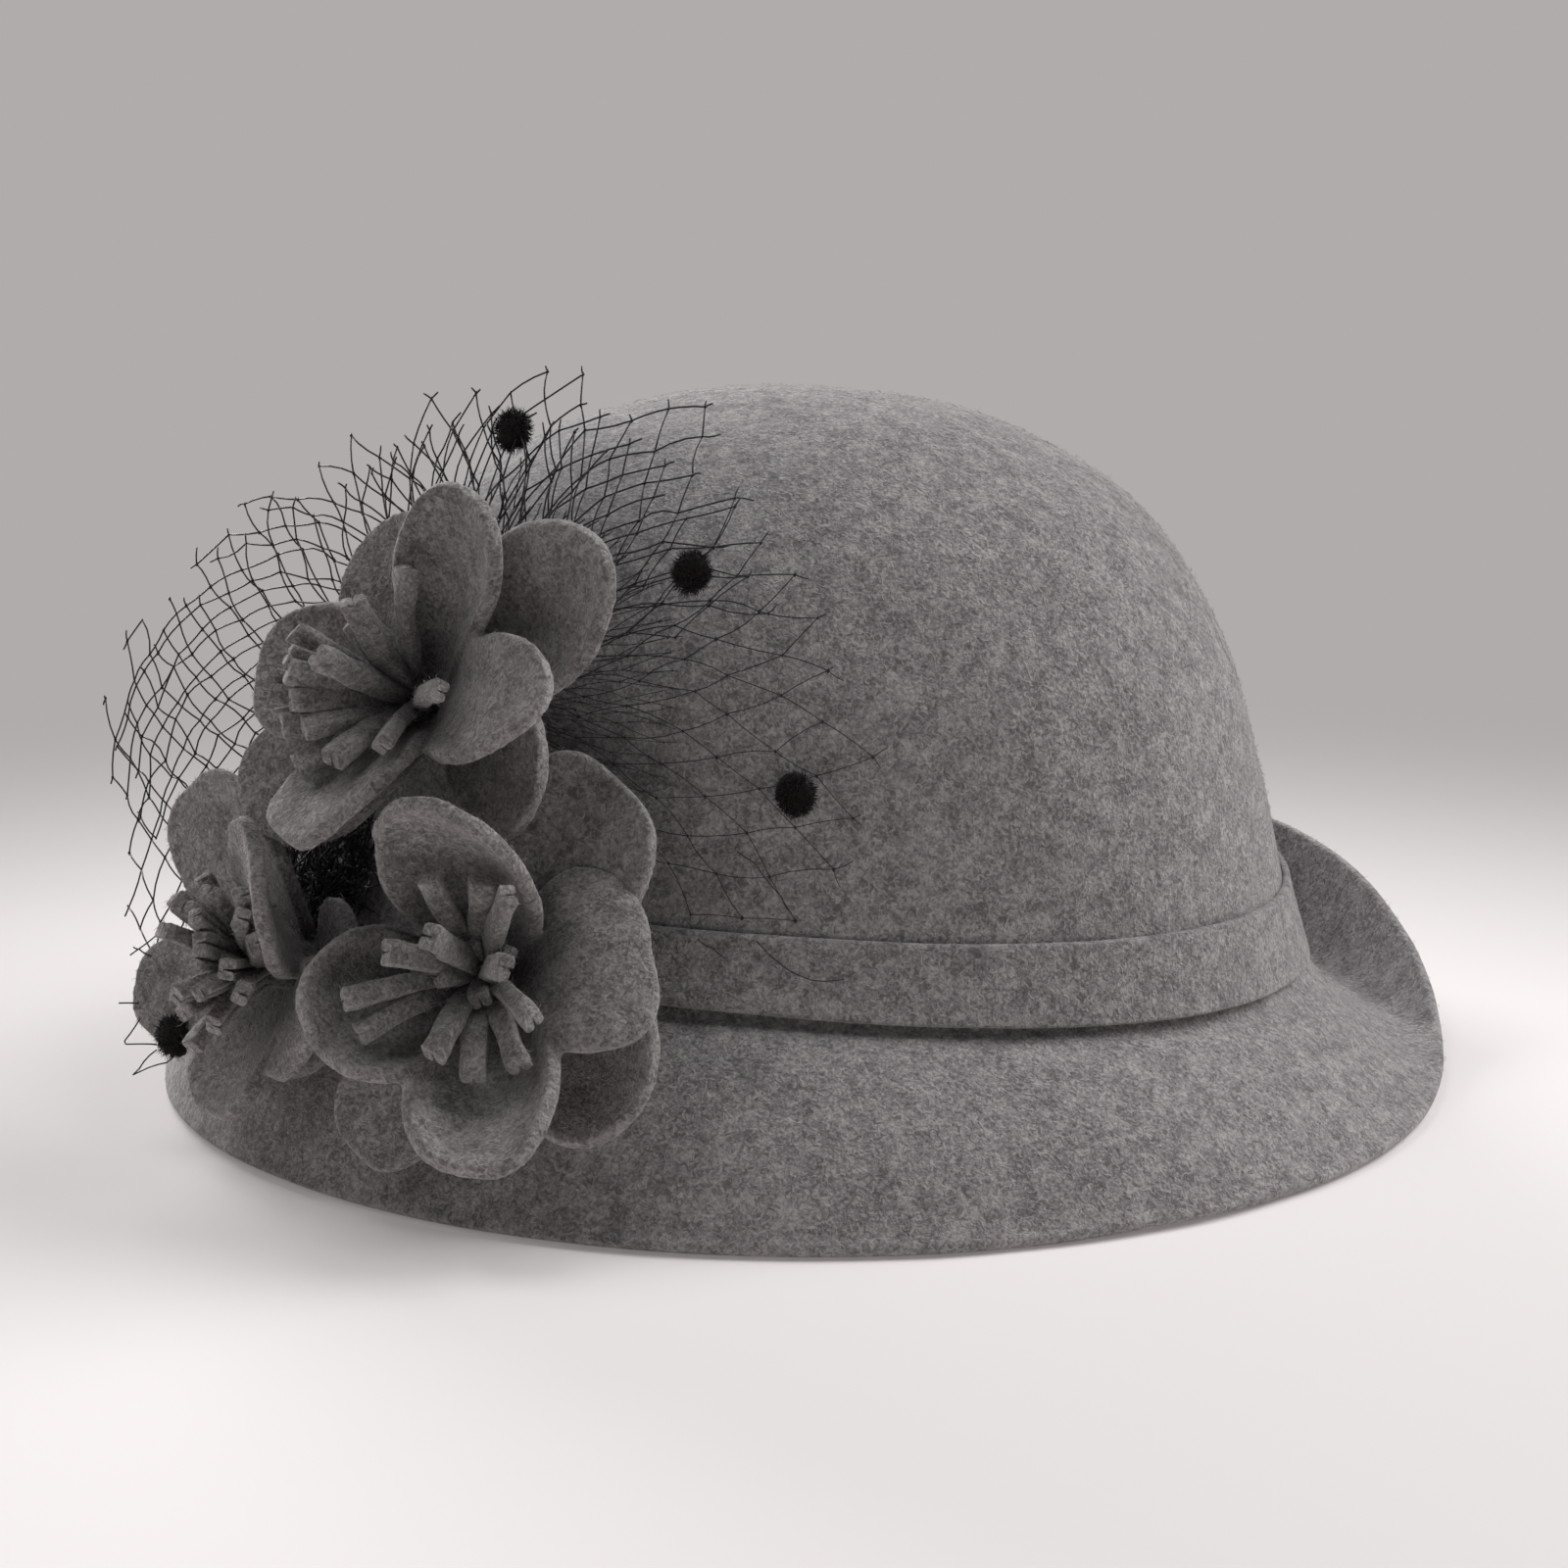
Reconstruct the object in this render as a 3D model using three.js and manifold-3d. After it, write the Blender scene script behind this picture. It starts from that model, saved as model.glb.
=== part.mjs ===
// A woman's wool felt cloche hat, lying on its brim. Millimetres, +Z up, the front of the hat towards -X.
// It is drawn round the crown's upright axis, on the plane that the brim rests on. The finished hat is then
// moved sideways a little, so that the origin lies under the middle of its outline.
// Crown and brim are blocked from one piece of felt. A felt band hides the break between them. Three felt
// flowers, each of two die-cut four-petal layers round a fringe of stamens, sit on the wearer's left front
// over a gathered net veil with chenille dots.
import * as THREE from "three";
import { mergeVertices } from "three/addons/utils/BufferGeometryUtils.js";
import Module from "manifold-3d";

const wasm = await Module();
wasm.setup();

// ---- Driving sizes -------------------------------------------------------------------------------------

const felt = 2.6; // wall of the blocked felt
const clear = 0.35; // gap left between pieces that touch on the real hat
const around = 40; // facets round the hat

const head = { halfLength: 101, halfWidth: 87, squareness: 2.25 }; // break line between crown and brim
const breakHeight = { middle: 33, slope: -0.09 }; // the break line is lower at the back of the neck
const crownTop = 134.6; // height of the crown over the table

// Crown outline from the break line up: size is a share of the break line's, up a share of the crown's height.
const crownOutline = [
  { size: 1.0, up: 0.0 },
  { size: 0.975, up: 0.1 },
  { size: 0.915, up: 0.34 },
  { size: 0.832, up: 0.566 },
  { size: 0.675, up: 0.779 },
  { size: 0.445, up: 0.918 },
  { size: 0.22, up: 0.981 },
  { size: 0.0, up: 1.0 },
];

const brimEdge = { centre: 3.75, halfLength: 129, halfWidth: 121 }; // plan of the rim
// Brim round the hat. at: degrees from the back (+X) towards the far side (+Y). spread: share of the rim's plan.
// rim: height of the rim. kneeOut and kneeUp: where the brim bends, as a share of its reach, and over the table.
const brim = [
  { at: 0, spread: 0.98, rim: 7.5, kneeOut: 0.74, kneeUp: -1 },
  { at: 13, spread: 0.99, rim: 17, kneeOut: 0.8, kneeUp: -8 },
  { at: 24, spread: 0.996, rim: 25, kneeOut: 0.82, kneeUp: -10 },
  { at: 37, spread: 0.998, rim: 31, kneeOut: 0.82, kneeUp: -10 },
  { at: 60, spread: 0.99, rim: 36, kneeOut: 0.8, kneeUp: -8 },
  { at: 85, spread: 0.98, rim: 34, kneeOut: 0.8, kneeUp: -5 },
  { at: 108, spread: 0.985, rim: 19, kneeOut: 0.74, kneeUp: 0 },
  { at: 128, spread: 1.0, rim: 5, kneeOut: 0.64, kneeUp: 16 },
  { at: 150, spread: 1.0, rim: 0.8, kneeOut: 0.56, kneeUp: 27 },
  { at: 180, spread: 1.0, rim: 0.8, kneeOut: 0.54, kneeUp: 32 },
  { at: 225, spread: 1.0, rim: 0.8, kneeOut: 0.56, kneeUp: 29 },
  { at: 270, spread: 1.0, rim: 0.8, kneeOut: 0.6, kneeUp: 24 },
  { at: 288, spread: 1.0, rim: 0.8, kneeOut: 0.6, kneeUp: 22 },
  { at: 298, spread: 1.0, rim: 3, kneeOut: 0.6, kneeUp: 21 },
  { at: 314, spread: 0.995, rim: 1.2, kneeOut: 0.6, kneeUp: 17 },
  { at: 330, spread: 0.99, rim: 1.6, kneeOut: 0.64, kneeUp: 11 },
  { at: 345, spread: 0.982, rim: 3.2, kneeOut: 0.7, kneeUp: 5 },
];

const band = { tall: 12.4, thick: 1.7, standsOff: 1.6, lift: 1.4 }; // standsOff: at its lower edge, over its upper

const petalFelt = 2.8;
// Petals by layer. at: degrees round the flower's face, 0 to the right and 90 up. lift: rise from the face at
// the root, bend: how much it turns by the tip, both in degrees. cup: degrees that each side turns up.
// Stamens: at as above, lean: degrees from the flower's axis.
const flowers = [
  {
    name: "lower",
    heart: [-52, -91, 41.5],
    turn: 12,
    raise: 28,
    stub: 16,
    front: [
      { at: 5, lift: 44, bend: -38, long: 34, half: 18, cup: -16 },
      { at: 116, lift: 30, bend: -18, long: 32, half: 17.5, cup: 30 },
      { at: 197, lift: 30, bend: -22, long: 33, half: 17, cup: 34 },
      { at: 277, lift: 26, bend: -8, long: 38, half: 16, cup: 46 },
    ],
    back: [
      { at: 54, lift: 10, bend: -12, long: 36.5, half: 15.5, cup: 18 },
      { at: 137, lift: 8, bend: -10, long: 30, half: 14, cup: 16 },
      { at: 236, lift: 6, bend: -8, long: 37.5, half: 14, cup: 14 },
      { at: 319, lift: 10, bend: 4, long: 35.5, half: 15.5, cup: 26 },
    ],
    stamens: [
      { at: 117, lean: 30, long: 25 },
      { at: 76, lean: 32, long: 23 },
      { at: 47, lean: 30, long: 25 },
      { at: 170, lean: 8, long: 25 },
      { at: 190, lean: 27, long: 25 },
      { at: 207, lean: 50, long: 28 },
      { at: 222, lean: 56, long: 27 },
      { at: 262, lean: 47, long: 25 },
      { at: 280, lean: 58, long: 25 },
      { at: 340, lean: 24, long: 25 },
      { at: 322, lean: 46, long: 25 },
      { at: 302, lean: 60, long: 25 },
    ],
  },
  {
    name: "upper",
    heart: [-63, -71.5, 86.5],
    turn: 30,
    raise: 16,
    stub: 18,
    front: [
      { at: 9, lift: 38, bend: -26, long: 37, half: 15.5, cup: 24 },
      { at: 85, lift: 26, bend: -16, long: 37, half: 14, cup: 52 },
      { at: 182, lift: 26, bend: -22, long: 34, half: 17, cup: 30 },
      { at: 239, lift: 46, bend: -30, long: 35, half: 13.5, cup: 20 },
    ],
    back: [
      { at: 40, lift: 10, bend: -14, long: 39, half: 16.5, cup: 24 },
      { at: 124, lift: 8, bend: -12, long: 34, half: 14, cup: 16 },
      { at: 204, lift: 8, bend: -10, long: 39, half: 14, cup: 12 },
      { at: 315, lift: 14, bend: -12, long: 28, half: 14, cup: 24 },
    ],
    stamens: [
      { at: 84, lean: 58, long: 26 },
      { at: 100, lean: 36, long: 26 },
      { at: 152, lean: 46, long: 26 },
      { at: 140, lean: 16, long: 26 },
      { at: 172, lean: 30, long: 26 },
      { at: 188, lean: 42, long: 27 },
      { at: 209, lean: 38, long: 26 },
      { at: 234, lean: 44, long: 26 },
      { at: 262, lean: 30, long: 25 },
      { at: 308, lean: 30, long: 23 },
      { at: 5, lean: 41, long: 26 },
    ],
  },
  {
    name: "front",
    heart: [-89, -70, 37],
    turn: 55,
    raise: 14,
    stub: 16,
    front: [
      { at: 60, lift: 52, bend: -26, long: 34, half: 14, cup: 20 },
      { at: 200, lift: 28, bend: -20, long: 37, half: 15.5, cup: 30 },
      { at: 261, lift: 40, bend: -24, long: 30, half: 14.5, cup: 34 },
      { at: 335, lift: 26, bend: -14, long: 22, half: 12, cup: 20 },
    ],
    back: [
      { at: 142, lift: 16, bend: -14, long: 42, half: 16, cup: 20 },
      { at: 222, lift: 12, bend: -8, long: 22, half: 11, cup: 10 },
      { at: 300, lift: 14, bend: -6, long: 17, half: 10, cup: 12 },
      { at: 40, lift: 16, bend: -8, long: 24, half: 11, cup: 14 },
    ],
    stamens: [
      { at: 126, lean: 32, long: 23 },
      { at: 75, lean: 36, long: 23 },
      { at: 40, lean: 45, long: 23 },
      { at: 30, lean: 24, long: 23 },
      { at: 108, lean: 12, long: 24 },
      { at: 6, lean: 38, long: 23 },
      { at: 346, lean: 30, long: 24 },
      { at: 318, lean: 20, long: 24 },
      { at: 290, lean: 42, long: 23 },
    ],
  },
];
const hub = { radius: 5.5, half: 1.6, petalsFrom: 3 }; // felt pinched together at each layer's root
const roll = { radius: 3.6, tall: 4 }; // rolled end of a stamen fringe
const strip = { wide: 3.3, thick: 2.8 }; // cut end of a stamen

// Veil: a gathered fan of coarse net. reach: radius by direction round its root; hug: how closely it follows
// the crown, 1 being its own curve.
const veil = { root: [-57, -62, 86.5], turn: 30, raise: 14, standsOff: 3, inner: 8, net: 0.8, strand: 1.3 };
const veilCells = { columns: 16, rows: 5, from: -38, to: 236 };
const veilReach = [
  { at: -38, reach: 80, hug: 0.5 },
  { at: -13, reach: 73, hug: 0.86 },
  { at: 17, reach: 67, hug: 0.85 },
  { at: 45, reach: 63, hug: 0.76 },
  { at: 70, reach: 62, hug: 0.6 },
  { at: 95, reach: 58, hug: 0.47 },
  { at: 120, reach: 57, hug: 0.4 },
  { at: 146, reach: 62, hug: 0.36 },
  { at: 166, reach: 77, hug: 0.33 },
  { at: 185, reach: 93, hug: 0.33 },
  { at: 205, reach: 92, hug: 0.3 },
  { at: 236, reach: 78, hug: -0.4 },
];
const crownCurve = 95; // mean radius of the crown where the veil lies
const dot = { radius: 4.6, thick: 3.4 };
const dots = [
  { at: 91, out: 0.84 },
  { at: 33, out: 0.7 },
  { at: -10, out: 0.8 },
  { at: 233, out: 0.96 },
];

// ---- Shaping helpers -----------------------------------------------------------------------------------

const radians = (degrees) => (degrees * Math.PI) / 180;
const signedPower = (x, power) => Math.sign(x) * Math.abs(x) ** power;

/** The named columns of a table of rows round a circle (closed) or along a range, at an angle in degrees. */
function tableAt(rows, degrees, closed = true) {
  const n = rows.length;
  const row = (i) => {
    if (!closed) return rows[Math.min(Math.max(i, 0), n - 1)];
    const turns = Math.floor(i / n);
    const found = rows[i - turns * n];
    return { ...found, at: found.at + 360 * turns };
  };
  let i = rows.findLastIndex((r) => r.at <= degrees);
  if (!closed) i = Math.min(Math.max(i, 0), n - 2);
  const [before, low, high, after] = [row(i - 1), row(i), row(i + 1), row(i + 2)];
  const span = high.at - low.at;
  const k = (degrees - low.at) / span;
  const slope = (a, b, column) => (b.at === a.at ? 0 : ((b[column] - a[column]) / (b.at - a.at)) * span);
  const out = {};
  for (const column of Object.keys(low)) {
    const [m0, m1] = [slope(before, high, column), slope(low, after, column)];
    out[column] =
      low[column] * (2 * k ** 3 - 3 * k ** 2 + 1) +
      m0 * (k ** 3 - 2 * k ** 2 + k) +
      high[column] * (3 * k ** 2 - 2 * k ** 3) +
      m1 * (k ** 3 - k ** 2);
  }
  return out;
}

/** Faces of a grid of rows by columns of points, two triangles a cell. closed: the columns go round. */
function gridFaces(rows, columns, closed = false) {
  const faces = [];
  for (let r = 0; r < rows - 1; r++) {
    for (let c = 0; c < (closed ? columns : columns - 1); c++) {
      const next = (c + 1) % columns;
      const [a, b] = [r * columns + c, r * columns + next];
      const [d, e] = [a + columns, b + columns];
      faces.push([a, d, e], [a, e, b]);
    }
  }
  return faces;
}

/** Unit normals at the points of a sheet, from its faces. */
function sheetNormals(points, faces) {
  const normals = points.map(() => new THREE.Vector3());
  const [ab, ac] = [new THREE.Vector3(), new THREE.Vector3()];
  for (const [a, b, c] of faces) {
    ab.subVectors(points[b], points[a]);
    ac.subVectors(points[c], points[a]);
    const normal = ab.cross(ac);
    for (const i of [a, b, c]) normals[i].add(normal);
  }
  return normals.map((n) => n.normalize());
}

/** A closed solid from a sheet: its face moved out by outside, its back in by inside, and walls round its edges. */
function thicken(points, faces, outside, inside) {
  const normals = sheetNormals(points, faces);
  const n = points.length;
  const vertices = [
    ...points.map((p, i) => p.clone().addScaledVector(normals[i], outside)),
    ...points.map((p, i) => p.clone().addScaledVector(normals[i], -inside)),
  ];
  const edges = new Set(faces.flatMap(([a, b, c]) => [`${a} ${b}`, `${b} ${c}`, `${c} ${a}`]));
  const triangles = [];
  for (const [a, b, c] of faces) {
    triangles.push([a, b, c], [a + n, c + n, b + n]);
    for (const [p, q] of [[a, b], [b, c], [c, a]]) {
      if (!edges.has(`${q} ${p}`)) triangles.push([q, p, p + n], [q, p + n, q + n]);
    }
  }
  return solid(vertices, triangles);
}

function solid(vertices, triangles) {
  const vertProperties = new Float32Array(vertices.flatMap((v) => [v.x, v.y, v.z]));
  return new wasm.Manifold(
    new wasm.Mesh({ numProp: 3, vertProperties, triVerts: new Uint32Array(triangles.flat()) }),
  );
}

/** A solid from a closed three.js geometry. */
function solidOf(geometry) {
  const plain = geometry.clone();
  plain.deleteAttribute("normal");
  plain.deleteAttribute("uv");
  const merged = mergeVertices(plain, 1e-3);
  return new wasm.Manifold(
    new wasm.Mesh({
      numProp: 3,
      vertProperties: merged.attributes.position.array,
      triVerts: new Uint32Array(merged.index.array),
    }),
  );
}

/** The largest body of a solid, without the crumbs that a cut leaves. */
function mainBody(whole) {
  return whole.decompose().sort((a, b) => b.volume() - a.volume())[0];
}

const cutAll = (whole, cutters) => cutters.reduce((left, cutter) => left.subtract(cutter), whole);
const joinAll = (solids) => solids.reduce((whole, one) => whole.add(one));

/** Right, up and outward directions of a face turned from the near side towards the front, then raised. */
function facing(turn, raise) {
  const [t, r] = [radians(turn), radians(raise)];
  const out = new THREE.Vector3(-Math.sin(t) * Math.cos(r), -Math.cos(t) * Math.cos(r), Math.sin(r));
  const right = new THREE.Vector3(Math.cos(t), -Math.sin(t), 0);
  return { right, up: new THREE.Vector3().crossVectors(out, right), out };
}

// ---- Blocked body: crown and brim in one ---------------------------------------------------------------

const breakZ = (x) => breakHeight.middle + breakHeight.slope * x;
const crownHeight = crownTop - breakHeight.middle;
const crownSpline = new THREE.SplineCurve(crownOutline.map((row) => new THREE.Vector2(row.size, row.up)));

/** How far along the crown's outline a share of its height lies. */
function alongAt(up) {
  let [low, high] = [0, 1];
  while (high - low > 1e-5) {
    const middle = (low + high) / 2;
    if (crownSpline.getPointAt(middle).y < up) low = middle;
    else high = middle;
  }
  return (low + high) / 2;
}

/** A point of the crown's outer face. round: degrees from the back. along: 0 at the break line, 1 at the top. */
function crownPoint(round, along) {
  const { x: size, y: up } = crownSpline.getPointAt(along);
  const angle = radians(round);
  const power = 2 / head.squareness;
  const x = head.halfLength * signedPower(Math.cos(angle), power);
  const y = head.halfWidth * signedPower(Math.sin(angle), power);
  const tilt = (breakZ(x) - breakHeight.middle) * (1 - up) ** 2;
  return new THREE.Vector3(size * x, size * y, breakHeight.middle + up * crownHeight + tilt);
}

/** A point of the brim's upper face. along: 0 at the break line, 1 at the rim. */
function brimPoint(round, along) {
  const row = tableAt(brim, round);
  const angle = radians(round);
  const start = crownPoint(round, 0);
  const rim = new THREE.Vector3(
    brimEdge.centre + row.spread * brimEdge.halfLength * Math.cos(angle),
    row.spread * brimEdge.halfWidth * Math.sin(angle),
    row.rim,
  );
  const knee = start.clone().lerp(rim, row.kneeOut).setZ(row.kneeUp);
  return new THREE.QuadraticBezierCurve3(start, knee, rim).getPoint(along);
}

const crownRings = 9;
const brimRings = 6;

function bodySheet() {
  const points = [];
  for (let ring = 0; ring < crownRings; ring++) {
    for (let i = 0; i < around; i++) points.push(crownPoint((360 * i) / around, 1 - (ring + 1) / crownRings));
  }
  for (let ring = 1; ring <= brimRings; ring++) {
    for (let i = 0; i < around; i++) points.push(brimPoint((360 * i) / around, ring / brimRings));
  }
  const faces = gridFaces(crownRings + brimRings, around, true);
  const top = points.push(crownPoint(0, 1)) - 1;
  for (let i = 0; i < around; i++) faces.push([top, i, (i + 1) % around]);
  return { points, faces };
}

const underTable = solidOf(new THREE.BoxGeometry(400, 400, 20).translate(0, 0, -10));
const bodyOf = (grow) => {
  const { points, faces } = bodySheet();
  return thicken(points, faces, grow, felt + grow);
};

// ---- Band ----------------------------------------------------------------------------------------------

function bandOf(grow) {
  const points = [];
  const rows = 3;
  for (let row = 0; row < rows; row++) {
    const down = row / (rows - 1);
    const along = alongAt((band.lift + band.tall * (1 - down)) / crownHeight);
    for (let i = 0; i < around; i++) {
      const onCrown = crownPoint((360 * i) / around, along);
      const power = head.squareness - 1;
      const outward = new THREE.Vector3(
        signedPower(onCrown.x / head.halfLength, power) / head.halfLength,
        signedPower(onCrown.y / head.halfWidth, power) / head.halfWidth,
        0,
      ).normalize();
      points.push(onCrown.addScaledVector(outward, clear + band.thick + band.standsOff * down ** 1.5));
    }
  }
  return thicken(points, gridFaces(rows, around, true), grow, band.thick + grow);
}

// ---- Flowers -------------------------------------------------------------------------------------------

/** A petal's middle sheet in the flower's frame: x to the right, y up, z out of its face. */
function petalSheet(petal, grow, cells) {
  const [lift, bend, cup] = [radians(petal.lift), radians(petal.bend), radians(petal.cup)];
  const along = new THREE.Vector3(Math.cos(radians(petal.at)), Math.sin(radians(petal.at)), 0);
  const out = new THREE.Vector3(0, 0, 1);
  const across = new THREE.Vector3().crossVectors(out, along);
  const long = petal.long + grow;
  const points = [];
  for (let i = 0; i <= cells; i++) {
    for (let j = 0; j <= cells; j++) {
      const [u, v] = [(2 * j) / cells - 1, (2 * i) / cells - 1];
      const side = u * Math.sqrt(1 - (v * v) / 2); // a square grid drawn to a disc
      const share = (v * Math.sqrt(1 - (u * u) / 2) + 1) / 2;
      const slope = lift + bend * share;
      const forward = (long * (Math.sin(slope) - Math.sin(lift))) / bend;
      const rise = (long * (Math.cos(lift) - Math.cos(slope))) / bend;
      const half = (petal.half + grow) * (0.62 + 0.38 * Math.sin((Math.PI / 2) * Math.min(1, share / 0.7)));
      const lateral = (half * Math.sin(side * cup)) / cup;
      const turned = (half * (1 - Math.cos(side * cup))) / cup;
      points.push(
        new THREE.Vector3()
          .addScaledVector(along, hub.petalsFrom + forward - Math.sin(slope) * turned)
          .addScaledVector(out, rise + Math.cos(slope) * turned)
          .addScaledVector(across, lateral),
      );
    }
  }
  return { points, faces: gridFaces(cells + 1, cells + 1).map(([a, b, c]) => [a, c, b]) };
}

/** One die-cut layer of petals round its pinched hub, in the flower's frame. */
function petalLayer(petals, grow, cells) {
  const half = petalFelt / 2 + grow;
  const cut = petals.map((petal) => {
    const { points, faces } = petalSheet(petal, grow, cells);
    return thicken(points, faces, half, half);
  });
  const pinch = new THREE.CylinderGeometry(hub.radius + grow, hub.radius + grow, 2 * (hub.half + grow), 10);
  return joinAll([...cut, solidOf(pinch.rotateX(Math.PI / 2))]);
}

/** The felt stub that carries a flower, from the back layer to the crown. */
function stubOf(flower, grow) {
  const long = flower.stub + grow;
  const shape = new THREE.CylinderGeometry(hub.radius - 1 + grow, hub.radius + 1 + grow, long, 10);
  return solidOf(shape.rotateX(Math.PI / 2).translate(0, 0, -long / 2));
}

/** A fringe of square-cut stamens, rolled up at its foot and splayed out of the front layer. */
function stamensOf(fringe, grow) {
  const [halfWide, halfThick] = [strip.wide / 2 + grow, strip.thick / 2 + grow];
  const corners = [[-1, -1], [1, -1], [1, 1], [-1, 1]];
  const section = new THREE.Shape(corners.map(([x, y]) => new THREE.Vector2(x * halfWide, y * halfThick)));
  const foot = new THREE.CylinderGeometry(roll.radius + grow, roll.radius + grow, roll.tall + 2 * grow, 8);
  const parts = [solidOf(foot.rotateX(Math.PI / 2).translate(0, 0, roll.tall / 2))];
  for (const { at, lean, long } of fringe) {
    const leaning = (share, reach) => {
      const [a, tip] = [radians(at), radians(lean * share)];
      return new THREE.Vector3(Math.cos(a) * Math.sin(tip), Math.sin(a) * Math.sin(tip), Math.cos(tip))
        .multiplyScalar(reach)
        .setZ(roll.tall / 2 + Math.cos(tip) * reach);
    };
    const path = new THREE.QuadraticBezierCurve3(leaning(1, 1.5), leaning(0.7, 0.5 * long), leaning(1, long + grow));
    parts.push(solidOf(new THREE.ExtrudeGeometry(section, { steps: 2, bevelEnabled: false, extrudePath: path })));
  }
  return joinAll(parts);
}

/** A solid made in a flower's frame, set a distance out from its heart. */
function placed(shape, flower, outBy) {
  const { right, up, out } = facing(flower.turn, flower.raise);
  const heart = new THREE.Vector3(...flower.heart).addScaledVector(out, outBy);
  const matrix = new THREE.Matrix4().makeBasis(right, up, out).setPosition(heart);
  return shape.transform(matrix.elements);
}

const stamensOut = hub.half + clear;

function flowerPieces(flower, grow) {
  return {
    stamens: placed(stamensOf(flower.stamens, grow), flower, stamensOut),
    front: placed(petalLayer(flower.front, grow, 4), flower, 0),
    back: placed(petalLayer(flower.back, grow, 4).add(stubOf(flower, grow)), flower, -2 * hub.half - clear),
  };
}

// ---- Veil ----------------------------------------------------------------------------------------------

/** A point of the veil. at: degrees round its root. out: share of its reach. above: distance off its face. */
function veilPoint(at, out, above = 0) {
  const row = tableAt(veilReach, at, false);
  const face = facing(veil.turn, veil.raise);
  const radius = veil.inner + (row.reach - veil.inner) * out;
  return new THREE.Vector3(...veil.root)
    .addScaledVector(face.right, radius * Math.cos(radians(at)))
    .addScaledVector(face.up, radius * Math.sin(radians(at)))
    .addScaledVector(face.out, veil.standsOff + above - (row.hug * radius ** 2) / (2 * crownCurve));
}

/** The veil's net: a sheet of diamonds, each pierced by a smaller diamond. */
function veilOf(grow) {
  const { columns, rows, from, to } = veilCells;
  const points = [];
  const faces = [];
  const index = new Map();
  const step = (to - from) / (2 * columns);
  const corner = (row, column) => {
    const key = `${row} ${column}`;
    if (!index.has(key)) {
      index.set(key, points.push(veilPoint(from + step * column, (row / (rows + 1)) ** 1.15)) - 1);
    }
    return index.get(key);
  };
  for (let row = 1; row <= rows; row++) {
    for (let column = 1 + (row % 2); column < 2 * columns; column += 2) {
      const ring = [corner(row - 1, column), corner(row, column + 1), corner(row + 1, column), corner(row, column - 1)];
      const middle = ring.reduce((sum, i) => sum.add(points[i]), new THREE.Vector3()).multiplyScalar(1 / 4);
      const narrow = Math.min(points[ring[1]].distanceTo(points[ring[3]]), points[ring[0]].distanceTo(points[ring[2]]));
      const keep = Math.max(0.25, 1 - (1.5 * veil.strand) / narrow);
      const hole = ring.map((i) => points.push(middle.clone().lerp(points[i], keep)) - 1);
      for (let k = 0; k < 4; k++) {
        const next = (k + 1) % 4;
        faces.push([ring[k], ring[next], hole[next]], [ring[k], hole[next], hole[k]]);
      }
    }
  }
  return thicken(points, faces, veil.net / 2 + grow, veil.net / 2 + grow);
}

function dotOf(place, grow) {
  const face = facing(veil.turn, veil.raise);
  const size = dot.radius + grow;
  const shape = new THREE.IcosahedronGeometry(size, 1).scale(1, 1, (dot.thick / 2 + grow) / size);
  const centre = veilPoint(place.at, place.out, veil.net / 2 + clear + dot.thick / 2);
  return solidOf(shape).transform(
    new THREE.Matrix4().makeBasis(face.right, face.up, face.out).setPosition(centre).elements,
  );
}

// ---- Assembly ------------------------------------------------------------------------------------------

const greyFelt = new THREE.MeshStandardMaterial({ color: 0x7d797a, roughness: 0.95, metalness: 0 });
const trimFelt = new THREE.MeshStandardMaterial({ color: 0x6c6869, roughness: 0.95, metalness: 0 });
const netYarn = new THREE.MeshStandardMaterial({ color: 0x1d191a, roughness: 0.6, metalness: 0 });
const chenille = new THREE.MeshStandardMaterial({ color: 0x120f10, roughness: 1, metalness: 0 });

const hat = new THREE.Group();

function addPiece(name, whole, material) {
  const mesh = whole.getMesh();
  const geometry = new THREE.BufferGeometry();
  geometry.setAttribute("position", new THREE.BufferAttribute(mesh.vertProperties, mesh.numProp));
  geometry.setIndex(new THREE.BufferAttribute(mesh.triVerts, 1));
  geometry.computeVertexNormals();
  const piece = new THREE.Mesh(geometry, material);
  piece.name = name;
  hat.add(piece);
}

const taken = [bodyOf(clear), bandOf(clear)]; // room that later pieces leave free
addPiece("hat_body", mainBody(bodyOf(0).subtract(underTable)), greyFelt);
addPiece("hat_band", bandOf(0), greyFelt);

for (const flower of flowers) {
  const plain = flowerPieces(flower, 0);
  const room = flowerPieces(flower, clear);
  const stamens = mainBody(cutAll(plain.stamens, taken));
  const front = mainBody(cutAll(plain.front, [...taken, room.stamens]));
  const back = mainBody(cutAll(plain.back, [...taken, room.stamens, room.front]));
  addPiece(`flower_${flower.name}_petals_front`, front, trimFelt);
  addPiece(`flower_${flower.name}_petals_back`, back, trimFelt);
  addPiece(`flower_${flower.name}_stamens`, stamens, trimFelt);
  taken.push(room.stamens, room.front, room.back);
}

dots.forEach((place, i) => {
  addPiece(`veil_dot_${i + 1}`, mainBody(cutAll(dotOf(place, 0), taken)), chenille);
  taken.push(dotOf(place, clear));
});
addPiece("veil_net", mainBody(cutAll(veilOf(0), taken)), netYarn);

const outline = new THREE.Box3().setFromObject(hat).getCenter(new THREE.Vector3());
hat.position.set(-outline.x, -outline.y, 0);
hat.updateMatrixWorld(true);

export default hat;
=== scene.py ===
import logging
import math
from collections.abc import Callable, Sequence
from dataclasses import dataclass, field
from enum import Enum

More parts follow.
